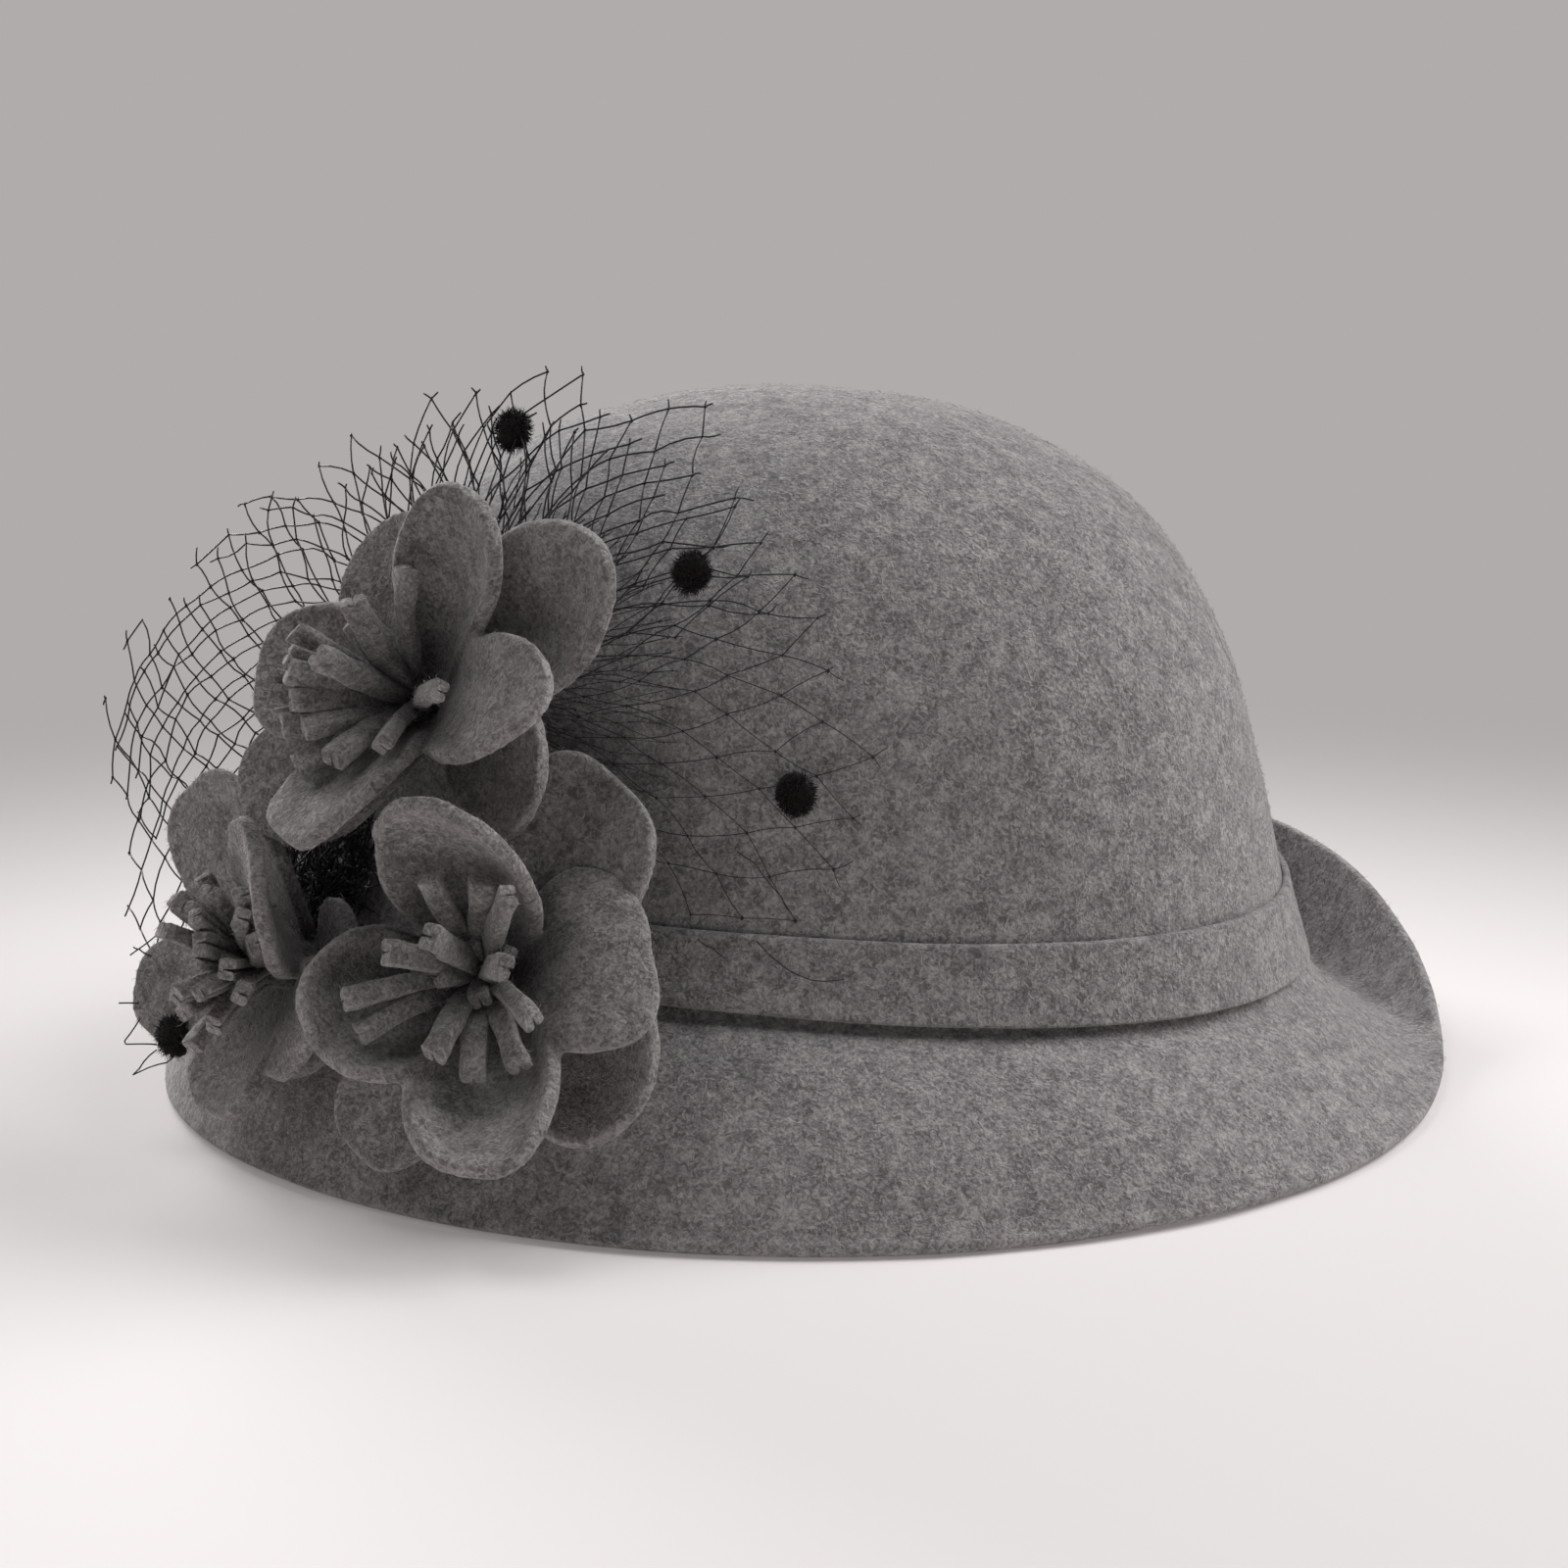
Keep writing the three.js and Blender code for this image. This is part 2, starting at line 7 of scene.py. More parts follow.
import bpy
import numpy as np
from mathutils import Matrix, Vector


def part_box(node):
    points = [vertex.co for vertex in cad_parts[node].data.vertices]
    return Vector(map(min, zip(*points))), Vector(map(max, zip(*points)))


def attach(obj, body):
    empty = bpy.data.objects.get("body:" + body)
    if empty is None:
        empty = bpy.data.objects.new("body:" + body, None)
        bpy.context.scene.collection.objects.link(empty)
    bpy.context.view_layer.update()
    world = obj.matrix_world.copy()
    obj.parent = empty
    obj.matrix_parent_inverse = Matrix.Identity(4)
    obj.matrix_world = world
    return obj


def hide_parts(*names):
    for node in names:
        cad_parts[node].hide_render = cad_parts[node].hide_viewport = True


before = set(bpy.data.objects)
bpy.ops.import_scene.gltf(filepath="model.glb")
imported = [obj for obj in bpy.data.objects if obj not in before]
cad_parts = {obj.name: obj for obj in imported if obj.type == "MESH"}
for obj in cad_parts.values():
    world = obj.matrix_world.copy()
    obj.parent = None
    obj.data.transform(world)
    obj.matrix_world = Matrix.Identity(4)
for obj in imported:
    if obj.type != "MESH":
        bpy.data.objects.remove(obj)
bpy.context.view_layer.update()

# A woman's wool felt cloche hat on a pale table: blocked crown and brim, a felt band, three felt flowers
# with stamens, and a gathered net veil with chenille dots. Sizes are in millimetres and are turned to metres
# where a mesh is made. The hat's front is towards -X and its crown axis is upright.

log = logging.getLogger("cloche")
Array = np.ndarray
Point = tuple[float, float, float]
Rows = tuple[tuple[float, ...], ...]
MM = 0.001
EDGE_ROWS = 8  # rows of points round a felt edge, with one on each face


# ---- Numbers and colours -------------------------------------------------------------------------------


def axis_shift() -> Array:
    """Where the crown's axis stands in the row frame, in mm, from the band round it."""
    low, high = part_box("hat_band")
    return np.array([(low.x + high.x) / 2, (low.y + high.y) / 2, 0.0]) / MM


SHIFT = axis_shift()


def linear(colour: str) -> tuple[float, float, float, float]:
    """Turns an sRGB hex colour to linear light.

    Args:
        colour: Six hex digits after a hash sign.

    Returns:
        Linear red, green, blue, and an alpha of one.
    """
    parts = [int(colour[i : i + 2], 16) / 255 for i in (1, 3, 5)]
    light = [c / 12.92 if c <= 0.04045 else ((c + 0.055) / 1.055) ** 2.4 for c in parts]
    return (light[0], light[1], light[2], 1.0)


def unit(vectors: Array) -> Array:
    """Vectors scaled to length one along their last axis."""
    return vectors / np.maximum(np.linalg.norm(vectors, axis=-1, keepdims=True), 1e-9)


def signed_power(values: Array, power: float) -> Array:
    """A power of each number's size, with its sign kept."""
    return np.sign(values) * np.abs(values) ** power


def circle(sides: int) -> Array:
    """Points evenly round a flat circle of radius one."""
    angle = np.linspace(0, 2 * math.pi, sides, endpoint=False)
    return np.stack([np.cos(angle), np.sin(angle), np.zeros(sides)], -1)


def table_at(rows: Rows, degrees: Array, closed: bool = True) -> Array:
    """Reads a table of rows smoothly at angles, with a cubic through its rows.

    Args:
        rows: Rows in rising order, each an angle in degrees and then its columns.
        degrees: The angles to read at.
        closed: The table goes round the whole circle.

    Returns:
        The columns at each angle, without the angle.
    """
    table = np.asarray(rows, float)
    angle = np.asarray(degrees, float)
    n = len(table)
    if closed:
        turn = np.array([360.0] + [0.0] * (table.shape[1] - 1))
        table = np.vstack([table[-2:] - turn, table, table[:3] + turn])
        angle = np.mod(angle - table[2, 0], 360) + table[2, 0]
        i = np.clip(np.searchsorted(table[:, 0], angle, side="right") - 1, 1, n + 1)
        before, after = i - 1, i + 2
    else:
        i = np.clip(np.searchsorted(table[:, 0], angle, side="right") - 1, 0, n - 2)
        before, after = np.maximum(i - 1, 0), np.minimum(i + 2, n - 1)
    a, b, c, d = (table[k] for k in (before, i, i + 1, after))
    span = (c - b)[..., :1]
    k = (angle[..., None] - b[..., :1]) / span
    m0 = (c - a) / np.maximum((c - a)[..., :1], 1e-9) * span
    m1 = (d - b) / np.maximum((d - b)[..., :1], 1e-9) * span
    ease = 3 * k**2 - 2 * k**3
    out = b * (1 - ease) + c * ease + m0 * (k**3 - 2 * k**2 + k) + m1 * (k**3 - k**2)
    return out[..., 1:]


def waves(points: Array, length: float, seed: int, count: int = 14) -> Array:
    """A smooth random field, the sum of plane waves in random directions.

    Args:
        points: Where to read it, in millimetres.
        length: The shortest wave, in millimetres; the longest is twice that.
        seed: Seed of the directions.
        count: Number of waves.

    Returns:
        One number a point, mostly between -1 and 1.
    """
    rng = np.random.default_rng(seed)
    directions = unit(rng.normal(size=(count, 3)))
    lengths = length * rng.uniform(1, 2, count)
    phases = rng.uniform(0, 2 * math.pi, count)
    steps = directions * (2 * math.pi / lengths)[:, None]
    return np.sin(points @ steps.T + phases).sum(-1) / math.sqrt(count)


def grid_normals(points: Array, wraps: bool = False) -> Array:
    """Unit normals at the points of a grid of rows by columns.

    Args:
        points: The grid, rows by columns by three.
        wraps: The columns go round.

    Returns:
        The normals, in the direction of row step cross column step.
    """
    if wraps:
        across = np.roll(points, -1, 1) - np.roll(points, 1, 1)
    else:
        across = np.gradient(points, axis=1)
    return unit(np.cross(np.gradient(points, axis=0), across))


@dataclass(frozen=True)
class Facing:
    """A face turned from the near side towards the front, then raised, in degrees."""

    turn: float
    lift: float

    def basis(self) -> Array:
        """Turns the two angles to directions.

        Returns:
            Rows: right, up and outward.
        """
        t, r = math.radians(self.turn), math.radians(self.lift)
        out = np.array([-math.sin(t) * math.cos(r), -math.cos(t) * math.cos(r), math.sin(r)])
        right = np.array([math.cos(t), -math.sin(t), 0.0])
        return np.array([right, np.cross(out, right), out])


# ---- Meshes --------------------------------------------------------------------------------------------


@dataclass
class Cloud:
    """Faces gathered for one mesh, in millimetres."""

    points: list[Array] = field(default_factory=list)
    faces: list[Array] = field(default_factory=list)
    caps: list[list[int]] = field(default_factory=list)  # flat ends of more than four corners
    total: int = 0

    def moved(self, to: Callable[[Array], Array]) -> "Cloud":
        """The same faces with their points moved."""
        return Cloud([to(points) for points in self.points], self.faces, self.caps, self.total)

    def add(self, points: Array, faces: Array) -> None:
        """Adds points and the faces between them.

        Args:
            points: The points.
            faces: Faces that count from the first of these points, with -1 where a fourth corner is missing.
        """
        flat = np.asarray(points, float).reshape(-1, 3)
        self.points.append(flat)
        self.faces.append(np.where(faces < 0, -1, faces + self.total))
        self.total += len(flat)

    def copies(self, points: Array, faces: Array) -> None:
        """Adds many small bodies that have the same faces.

        Args:
            points: Bodies by points by three.
            faces: The faces of one body.
        """
        first = (np.arange(len(points)) * points.shape[1])[:, None, None]
        self.add(points, np.where(faces < 0, -1, faces + first).reshape(-1, faces.shape[1]))

    def grid(self, points: Array, wraps: bool = False, ends: bool = False) -> None:
        """Adds a grid of quads, rows by columns.

        Args:
            points: The grid.
            wraps: The columns go round.
            ends: Closes the first and last row with a fan to their middle.
        """
        rows, columns = points.shape[:2]
        index = np.arange(rows * columns).reshape(rows, columns)
        right = np.roll(index, -1, 1)
        if not wraps:
            index, right = index[:, :-1], right[:, :-1]
        quads = np.stack([index[:-1], index[1:], right[1:], right[:-1]], -1).reshape(-1, 4)
        flat = points.reshape(-1, 3)
        if ends:
            first, last = rows * columns, rows * columns + 1
            flat = np.vstack([flat, points[0].mean(0), points[-1].mean(0)])
            top = np.arange(columns)
            low = top + (rows - 1) * columns
            fan = np.concatenate([
                np.stack([np.full(columns, first), top, np.roll(top, -1), np.full(columns, -1)], -1),
                np.stack([np.full(columns, last), np.roll(low, -1), low, np.full(columns, -1)], -1),
            ])
            quads = np.concatenate([quads, fan])
        self.add(flat, quads)

    def mesh(self, name: str, smooth: bool = True) -> bpy.types.Object:
        """Makes the object, in metres and in the row frame, with its faces outward.

        Args:
            name: Name of the piece.
            smooth: Shades it smooth.

        Returns:
            The new object.
        """
        points = (np.concatenate(self.points) + SHIFT) * MM
        loops: list[list[int]] = list(self.caps)
        for block in self.faces:
            if block.shape[1] == 3:
                loops.extend(block.tolist())
            else:
                loops.extend([f if f[3] >= 0 else f[:3] for f in block.tolist()])
        data = bpy.data.meshes.new(name)
        data.from_pydata(points.tolist(), [], loops)
        data.validate()
        data.update()
        if signed_volume(data) < 0:
            data.flip_normals()
        if smooth:
            data.shade_smooth()
        piece = bpy.data.objects.new(name, data)
        bpy.context.scene.collection.objects.link(piece)
        return piece


def vertices(data: bpy.types.Mesh) -> Array:
    """Reads where a mesh's points are.

    Args:
        data: The mesh.

    Returns:
        Its points, in metres.
    """
    flat = np.zeros(len(data.vertices) * 3)
    data.vertices.foreach_get("co", flat)
    return flat.reshape(-1, 3)


def corners(data: bpy.types.Mesh) -> Array:
    """Cuts a mesh's faces into triangles.

    Args:
        data: The mesh.

    Returns:
        The three corners of each triangle, in metres.
    """
    data.calc_loop_triangles()
    index = np.zeros(len(data.loop_triangles) * 3, np.int32)
    data.loop_triangles.foreach_get("vertices", index)
    return vertices(data)[index.reshape(-1, 3)]


def signed_volume(data: bpy.types.Mesh) -> float:
    """The volume inside a closed mesh, negative if its faces look inward."""
    a, b, c = corners(data).transpose(1, 0, 2)
    return float(np.einsum("ij,ij->", a, np.cross(b, c)) / 6)


def rounded(
    end: Array, normal: Array, out: Array, powers: tuple[float, float], proud: float = 1.0
) -> list[Array]:
    """Lays rows of points round the edge of a felt sheet, from one face over the edge to the other.

    Args:
        end: The middle of its edge.
        normal: From there to the first face, as long as half its thickness.
        out: From there away from the sheet, as long.
        powers: How square the edge is on its first and its second half: 1 is round, less is squarer.
        proud: How far the edge swells out, as a share.

    Returns:
        The rows, without those on the two faces.
    """
    rows = []
    for angle in np.linspace(0, math.pi, EDGE_ROWS)[1:-1]:
        power = powers[int(angle > math.pi / 2)]
        up, beyond = signed_power(np.cos(angle), power), math.sin(angle) ** power * proud
        rows.append(end + normal * up + out * beyond)
    return rows


def thick_sheet(middle: Array, half: float, cloud: Cloud) -> None:
    """Adds a closed felt sheet round its middle grid.

    Args:
        middle: The middle grid, rows by columns.
        half: Half its thickness.
        cloud: Where it goes.
    """
    normals = grid_normals(middle)
    rows, columns = middle.shape[:2]
    index = np.arange(rows * columns).reshape(rows, columns)
    quads = np.stack([index[:-1, :-1], index[1:, :-1], index[1:, 1:], index[:-1, 1:]], -1).reshape(-1, 4)
    n = rows * columns
    border = np.concatenate([index[0, :-1], index[:-1, -1], index[-1, :0:-1], index[:0:-1, 0]])
    after = np.roll(border, -1)
    walls = np.stack([border, after, after + n, border + n], -1)
    points = np.stack([middle + normals * half, middle - normals * half])
    cloud.add(points, np.concatenate([quads, quads[:, ::-1] + n, walls]))


def applied(piece: bpy.types.Object) -> None:
    """Applies every modifier of a piece to its mesh.

    Args:
        piece: The piece.
    """
    graph = bpy.context.evaluated_depsgraph_get()
    graph.update()
    made = bpy.data.meshes.new_from_object(piece.evaluated_get(graph))
    piece.modifiers.clear()
    piece.data = made


def felted(piece: bpy.types.Object, grain: float) -> bpy.types.Object:
    """Melts overlapping felt sheets to one skin and softens its edges.

    Args:
        piece: The piece with overlapping sheets.
        grain: Size of the skin's cells, in millimetres.

    Returns:
        The same piece with its new mesh.
    """
    melt = piece.modifiers.new("melt", "REMESH")
    melt.mode = "VOXEL"
    melt.voxel_size = grain * MM
    soften = piece.modifiers.new("soften", "SMOOTH")
    soften.factor, soften.iterations = 0.5, 6
    applied(piece)
    piece.data.shade_smooth()
    return piece


def fibres(
    feet: Array, direction: Array, long: Array, radius: float, rng: np.random.Generator, cloud: Cloud
) -> None:
    """Adds short tapered fibres, each closed and slightly bent.

    Args:
        feet: Where they start.
        direction: Unit directions.
        long: Their lengths.
        radius: Radius at their middle.
        rng: Source of their bends.
        cloud: Where they go.
    """
    n = len(feet)
    side = unit(np.cross(direction, rng.normal(size=(n, 3))))
    other = np.cross(direction, side)
    middle = feet + direction * long[:, None] * 0.45 + side * (long * rng.normal(0, 0.12, n))[:, None]
    tip = feet + direction * long[:, None] + other * (long * rng.normal(0, 0.18, n))[:, None]
    ring = [middle + radius * (side * x + other * y) for x, y, _ in circle(3)]
    faces = np.array([(0, 2, 1), (0, 3, 2), (0, 1, 3), (4, 1, 2), (4, 2, 3), (4, 3, 1)])
    cloud.copies(np.stack([feet, *ring, tip], 1), faces)


def nap(pieces: Sequence[bpy.types.Object], count: int, long: float, seed: int, outer: bool = False) -> Cloud:
    """Loose fibres lying over felt, spread evenly by area.

    Args:
        pieces: The felt they lie on.
        count: Number of fibres.
        long: Their mean length, in millimetres.
        seed: Seed of their places.
        outer: Leaves out faces that look down or towards the crown's axis.

    Returns:
        The fibres.
    """
    rng = np.random.default_rng(seed)
    a, b, c = np.concatenate([corners(piece.data) / MM - SHIFT for piece in pieces]).transpose(1, 0, 2)
    normal = np.cross(b - a, c - a)
    area = np.linalg.norm(normal, axis=1)
    normal = unit(normal)
    if outer:
        # only where it faces away from the head, and not so low that a fibre goes into the table
        outward, upward = np.sum(normal * unit(a * [1, 1, 0]), -1) > 0.3, normal[:, 2] > 0.2
        area = area * (outward | upward) * (a[:, 2] > 2.5)
    pick = rng.choice(len(area), count, p=area / area.sum())
    u, v = rng.uniform(size=(2, count, 1))
    u, v = np.where(u + v > 1, 1 - u, u), np.where(u + v > 1, 1 - v, v)
    feet = a[pick] + (b[pick] - a[pick]) * u + (c[pick] - a[pick]) * v
    lying = unit(np.cross(normal[pick], rng.normal(size=(count, 3))))
    direction = unit(lying + normal[pick] * rng.uniform(0.1, 0.6, (count, 1)))
    cloud, sunk, radius = Cloud(), 0.08, 0.05  # each foot is sunk a little into the felt
    fibres(feet - normal[pick] * sunk, direction, long * rng.uniform(0.5, 1.5, count), radius, rng, cloud)
    return cloud


# ---- Finishes ------------------------------------------------------------------------------------------


def add_node(
    tree: bpy.types.NodeTree, kind: str, sets: dict | None = None, feeds: dict | None = None,
    stops: Sequence[tuple[float, str]] = (),
) -> bpy.types.Node:
    """Adds a node with its settings and links.

    Args:
        tree: The node tree.
        kind: The node's type name.
        sets: Attributes by name.
        feeds: Values or output sockets by input name or number.
        stops: Places and sRGB hex colours along its colour ramp, from low to high.

    Returns:
        The new node.
    """
    node = tree.nodes.new(kind)
    for name, value in (sets or {}).items():
        setattr(node, name, value)
    for name, value in (feeds or {}).items():
        if isinstance(value, bpy.types.NodeSocket):
            tree.links.new(value, node.inputs[name])
        else:
            node.inputs[name].default_value = value
    for k, (place, colour) in enumerate(stops):
        elements = node.color_ramp.elements
        element = elements[k] if k < len(elements) else elements.new(place)
        element.position, element.color = place, linear(colour)
    return node


@dataclass(frozen=True)
class SurfaceFinish:
    """What every finish has: its material's name and the nodes of its surface."""

    name: str

    def surface(self, tree: bpy.types.NodeTree) -> bpy.types.Node:
        """Adds the finish's nodes and gives its shader."""
        raise NotImplementedError

    def make(self) -> bpy.types.Material:
        """Builds the material.

        Returns:
            The material.
        """
        material = bpy.data.materials.new(self.name)
        material.use_nodes = True
        material.node_tree.nodes.clear()
        surface = self.surface(material.node_tree).outputs[0]
        add_node(material.node_tree, "ShaderNodeOutputMaterial", None, {"Surface": surface})
        return material


@dataclass(frozen=True)
class MarlFelt(SurfaceFinish):
    """Wool felt of undyed dark and pale fibres, blocked and steamed: a mottled grey with no gloss, soft pale
    fibre ends and a faint nap that lightens where the surface turns away."""

    dark: str
    middle: str
    pale: str
    fleck: float = 1.0  # width of a dark or pale fleck, mm, drawn coarse enough to show
    fibre: float = 0.3  # width of a loose fibre, mm; a real one is 0.03, too fine to show
    relief: float = 0.64  # depth of the felt's grain from its lowest to its highest, mm
    sheen: float = 0.35
    painted_shade: float = 0.0  # how much painted shade darkens it where the pieces' "open" attribute is 0, deep between petals where shade falls
    shade: str = "#242020"  # the painted shade's colour, which the colour is multiplied by there

    def surface(self, tree: bpy.types.NodeTree) -> bpy.types.Node:
        """Adds the mottle, single pale and dark fibres over it, painted shade deep between petals where it is
        set, and the grain.

        Args:
            tree: The material's tree.

        Returns:
            The shader.
        """
        place = add_node(tree, "ShaderNodeTexCoord").outputs["Object"]
        # width of a blob in mm, detail, roughness, distortion
        blobs = (
            (self.fleck, 3.0, 0.6, 1.1),
            (self.fleck * 4.5, 2.0, 0.5, 0.0),
            (self.fleck * 0.8, 4.0, 0.6, 0.12),
        )
        fleck, broad, height = [
            add_node(tree, "ShaderNodeTexNoise", None, {
                "Vector": place, "Scale": 1 / (size * MM),
                "Detail": detail, "Roughness": rough, "Distortion": twist,
            }).outputs[0]
            for size, detail, rough, twist in blobs
        ]
        mottle = add_node(
            tree, "ShaderNodeMath", {"operation": "MULTIPLY_ADD"}, {0: broad, 1: 0.4, 2: fleck}
        ).outputs[0]
        colour = add_node(
            tree, "ShaderNodeValToRGB", None, {0: mottle},
            [(0.54, self.dark), (0.7, self.middle), (0.88, self.pale)],
        ).outputs[0]
        # width of a curl in mm, where it is read, how thin its line is, its strength, colour and rise
        for size, offset, thin, strength, tint, rise in (
            (self.fibre * 9, 0.31, 0.045, 0.6, self.pale, 0.35),
            (self.fibre * 8, -0.57, 0.04, 0.5, self.dark, 0.0),
        ):
            moved = add_node(
                tree, "ShaderNodeVectorMath", {"operation": "ADD"},
                {0: place, 1: (offset, offset * 0.7, -offset)},
            ).outputs[0]
            curls, gaps = [
                add_node(tree, "ShaderNodeTexNoise", None, {
                    "Vector": moved, "Scale": 1 / (wide * MM), "Detail": 1.0, "Distortion": twist,
                }).outputs[0]
                for wide, twist in ((size, 0.6), (size * 0.8, 0.0))
            ]
            # a fibre lies along the middle value of the one noise, where the other is high
            folded = add_node(
                tree, "ShaderNodeMath", {"operation": "PINGPONG"}, {0: curls, 1: 0.5}
            ).outputs[0]
            line, here = [
                add_node(
                    tree, "ShaderNodeMapRange", {"interpolation_type": "SMOOTHSTEP"},
                    {0: value, 1: low, 2: high, 3: 0.0, 4: most},
                ).outputs[0]
                for value, low, high, most in ((folded, 0.5 - thin, 0.5, 1.0), (gaps, 0.5, 0.62, strength))
            ]
            fibre = add_node(tree, "ShaderNodeMath", {"operation": "MULTIPLY"}, {0: line, 1: here}).outputs[0]
            colour = add_node(
                tree, "ShaderNodeMix", {"data_type": "RGBA"}, {0: fibre, 6: colour, 7: linear(tint)}
            ).outputs[2]
            if rise:
                height = add_node(
                    tree, "ShaderNodeMath", {"operation": "MULTIPLY_ADD"},
                    {0: fibre, 1: rise / strength, 2: height},
                ).outputs[0]
        # painted shade: the felt is darkened where "open" is low, deep between the petals, where shade falls
        # among them
        if self.painted_shade:
            opened = add_node(tree, "ShaderNodeAttribute", {"attribute_name": "open"}).outputs["Fac"]
            deep = add_node(
                tree, "ShaderNodeMapRange", None, {0: opened, 1: 0.0, 2: 1.0, 3: self.painted_shade, 4: 0.0}
            ).outputs[0]
            colour = add_node(
                tree, "ShaderNodeMix", {"data_type": "RGBA", "blend_type": "MULTIPLY"},
                {0: deep, 6: colour, 7: linear(self.shade)},
            ).outputs[2]
        bump = add_node(
            tree, "ShaderNodeBump", None, {"Strength": 0.75, "Distance": self.relief * MM, "Height": height}
        ).outputs[0]
        return add_node(tree, "ShaderNodeBsdfPrincipled", None, {
            "Base Color": colour, "Roughness": 0.96, "IOR": 1.55, "Specular IOR Level": 0.25, "Normal": bump,
            "Sheen Weight": self.sheen, "Sheen Roughness": 0.55, "Sheen Tint": linear("#d8d4d4"),
        })


@dataclass(frozen=True)
class LooseFibre(SurfaceFinish):
    """Wool fibres that stand out of the felt: pale undyed wool, dull, with light passing along the edge."""

    colour: str

    def surface(self, tree: bpy.types.NodeTree) -> bpy.types.Node:
        """Adds a dull even surface.

        Args:
            tree: The material's tree.

        Returns:
            The shader.
        """
        return add_node(tree, "ShaderNodeBsdfPrincipled", None, {
            "Base Color": linear(self.colour), "Roughness": 0.8, "IOR": 1.55, "Specular IOR Level": 0.3,
        })


@dataclass(frozen=True)
class TwistedFibre(SurfaceFinish):
    """What the two black trimmings share: fine fibres that change between two near blacks."""

    deep: str
    pale: str
    wide: float  # width of a darker or paler stretch, mm
    detail: float
    stops: tuple[float, float]  # where in the noise it is deep and pale

    def speckle(self, tree: bpy.types.NodeTree) -> bpy.types.NodeSocket:
        """Adds the changing colour.

        Args:
            tree: The material's tree.

        Returns:
            The colour.
        """
        place = add_node(tree, "ShaderNodeTexCoord").outputs["Object"]
        noise = add_node(
            tree, "ShaderNodeTexNoise", None,
            {"Vector": place, "Scale": 1 / (self.wide * MM), "Detail": self.detail},
        ).outputs[0]
        stops = zip(self.stops, (self.deep, self.pale))
        return add_node(tree, "ShaderNodeValToRGB", None, {0: noise}, list(stops)).outputs[0]


@dataclass(frozen=True)
class NetYarn(TwistedFibre):
    """Thin hard-twisted nylon yarn, dyed black and sized: near black with a faint satin light along it."""

    def surface(self, tree: bpy.types.NodeTree) -> bpy.types.Node:
        """Adds a satin surface.

        Args:
            tree: The material's tree.

        Returns:
            The shader.
        """
        return add_node(tree, "ShaderNodeBsdfPrincipled", None, {
            "Base Color": self.speckle(tree), "Roughness": 0.55, "IOR": 1.53, "Specular IOR Level": 0.4,
        })


@dataclass(frozen=True)
class ChenillePile(TwistedFibre):
    """Cut rayon pile, black-brown: swallows light between its fibres and shows a dim brown at their ends."""

    def surface(self, tree: bpy.types.NodeTree) -> bpy.types.Node:
        """Adds a dull surface with a little sheen.

        Args:
            tree: The material's tree.

        Returns:
            The shader.
        """
        return add_node(tree, "ShaderNodeBsdfPrincipled", None, {
            "Base Color": self.speckle(tree), "Roughness": 0.9, "IOR": 1.52, "Specular IOR Level": 0.2,
            "Sheen Weight": 0.15, "Sheen Roughness": 0.4,
        })


@dataclass(frozen=True)
class PaleTable(SurfaceFinish):
    """Matt pale laminate under the hat, which turns to an even grey far off."""

    name: str = "table_laminate"
    near: str = "#e8e4e3"
    glow: str = "#6b6867"  # light passed on by the rest of the bright room
    far: str = "#b0acab"
    middle: Point = (0.0, -0.2, 0.0)  # metres, where it is lightest
    reach: tuple[float, float] = (0.14, 0.6)  # metres from there where it starts and stops turning grey

    def surface(self, tree: bpy.types.NodeTree) -> bpy.types.Node:
        """Adds the laminate near by and the even grey far off.

        Args:
            tree: The material's tree.

        Returns:
            The shader.
        """
        place = add_node(tree, "ShaderNodeTexCoord").outputs["Object"]
        away = add_node(
            tree, "ShaderNodeVectorMath", {"operation": "DISTANCE"}, {0: place, 1: self.middle}
        ).outputs["Value"]
        share = add_node(
            tree, "ShaderNodeMapRange", {"interpolation_type": "SMOOTHERSTEP"},
            {0: away, 1: self.reach[0], 2: self.reach[1], 3: 0.0, 4: 1.0},
        ).outputs[0]
        base, light = [
            add_node(tree, "ShaderNodeValToRGB", None, {0: share}, [(0.0, here), (1.0, there)]).outputs[0]
            for here, there in ((self.near, "#000000"), (self.glow, self.far))
        ]
        return add_node(tree, "ShaderNodeBsdfPrincipled", None, {
            "Base Color": base, "Roughness": 0.8, "IOR": 1.5, "Specular IOR Level": 0.0,
            "Emission Color": light, "Emission Strength": 1.0,
        })


@dataclass(frozen=True)
class BackdropPaper(SurfaceFinish):
    """Seamless grey paper far behind the table, evenly lit, so that it has no light or shadow of its own."""

    name: str = "backdrop_paper"
    colour: str = PaleTable.far

    def surface(self, tree: bpy.types.NodeTree) -> bpy.types.Node:
        """Adds its even light."""
        return add_node(tree, "ShaderNodeEmission", None, {"Color": linear(self.colour)})


class Finish(Enum):
    """The hat's finishes, each with the name of the slot that it belongs to."""

    BODY = ("body_felt", MarlFelt("blocked_wool_felt", "#6a6667", "#918d8e", "#b4b0b0"))
    BAND = ("band_felt", MarlFelt("band_wool_felt", "#656162", "#8c8889", "#afabab"))
    # the flower felt carries painted shade deep between its petals
    FLOWER = (
        "flower_felt",
        MarlFelt("die_cut_wool_felt", "#656161", "#8d8988", "#b2aeac", relief=0.8, sheen=0.5, painted_shade=0.8),
    )
    BODY_NAP = ("body_felt", LooseFibre("loose_body_wool", "#a5a1a1"))
    FLOWER_NAP = ("flower_felt", LooseFibre("loose_flower_wool", "#9b9795"))
    NET = (
        "net",
        NetYarn("veil_nylon_yarn", "#151112", "#2c2627", wide=0.5, detail=1.0, stops=(0.35, 0.7)),
    )
    PILE = (
        "chenille",
        ChenillePile("chenille_rayon_pile", "#0a0708", "#2b2020", wide=0.7, detail=2.0, stops=(0.35, 0.75)),
    )

    def material(self) -> bpy.types.Material:
        """The finish's material, made once."""
        return bpy.data.materials.get(self.value[1].name) or self.value[1].make()


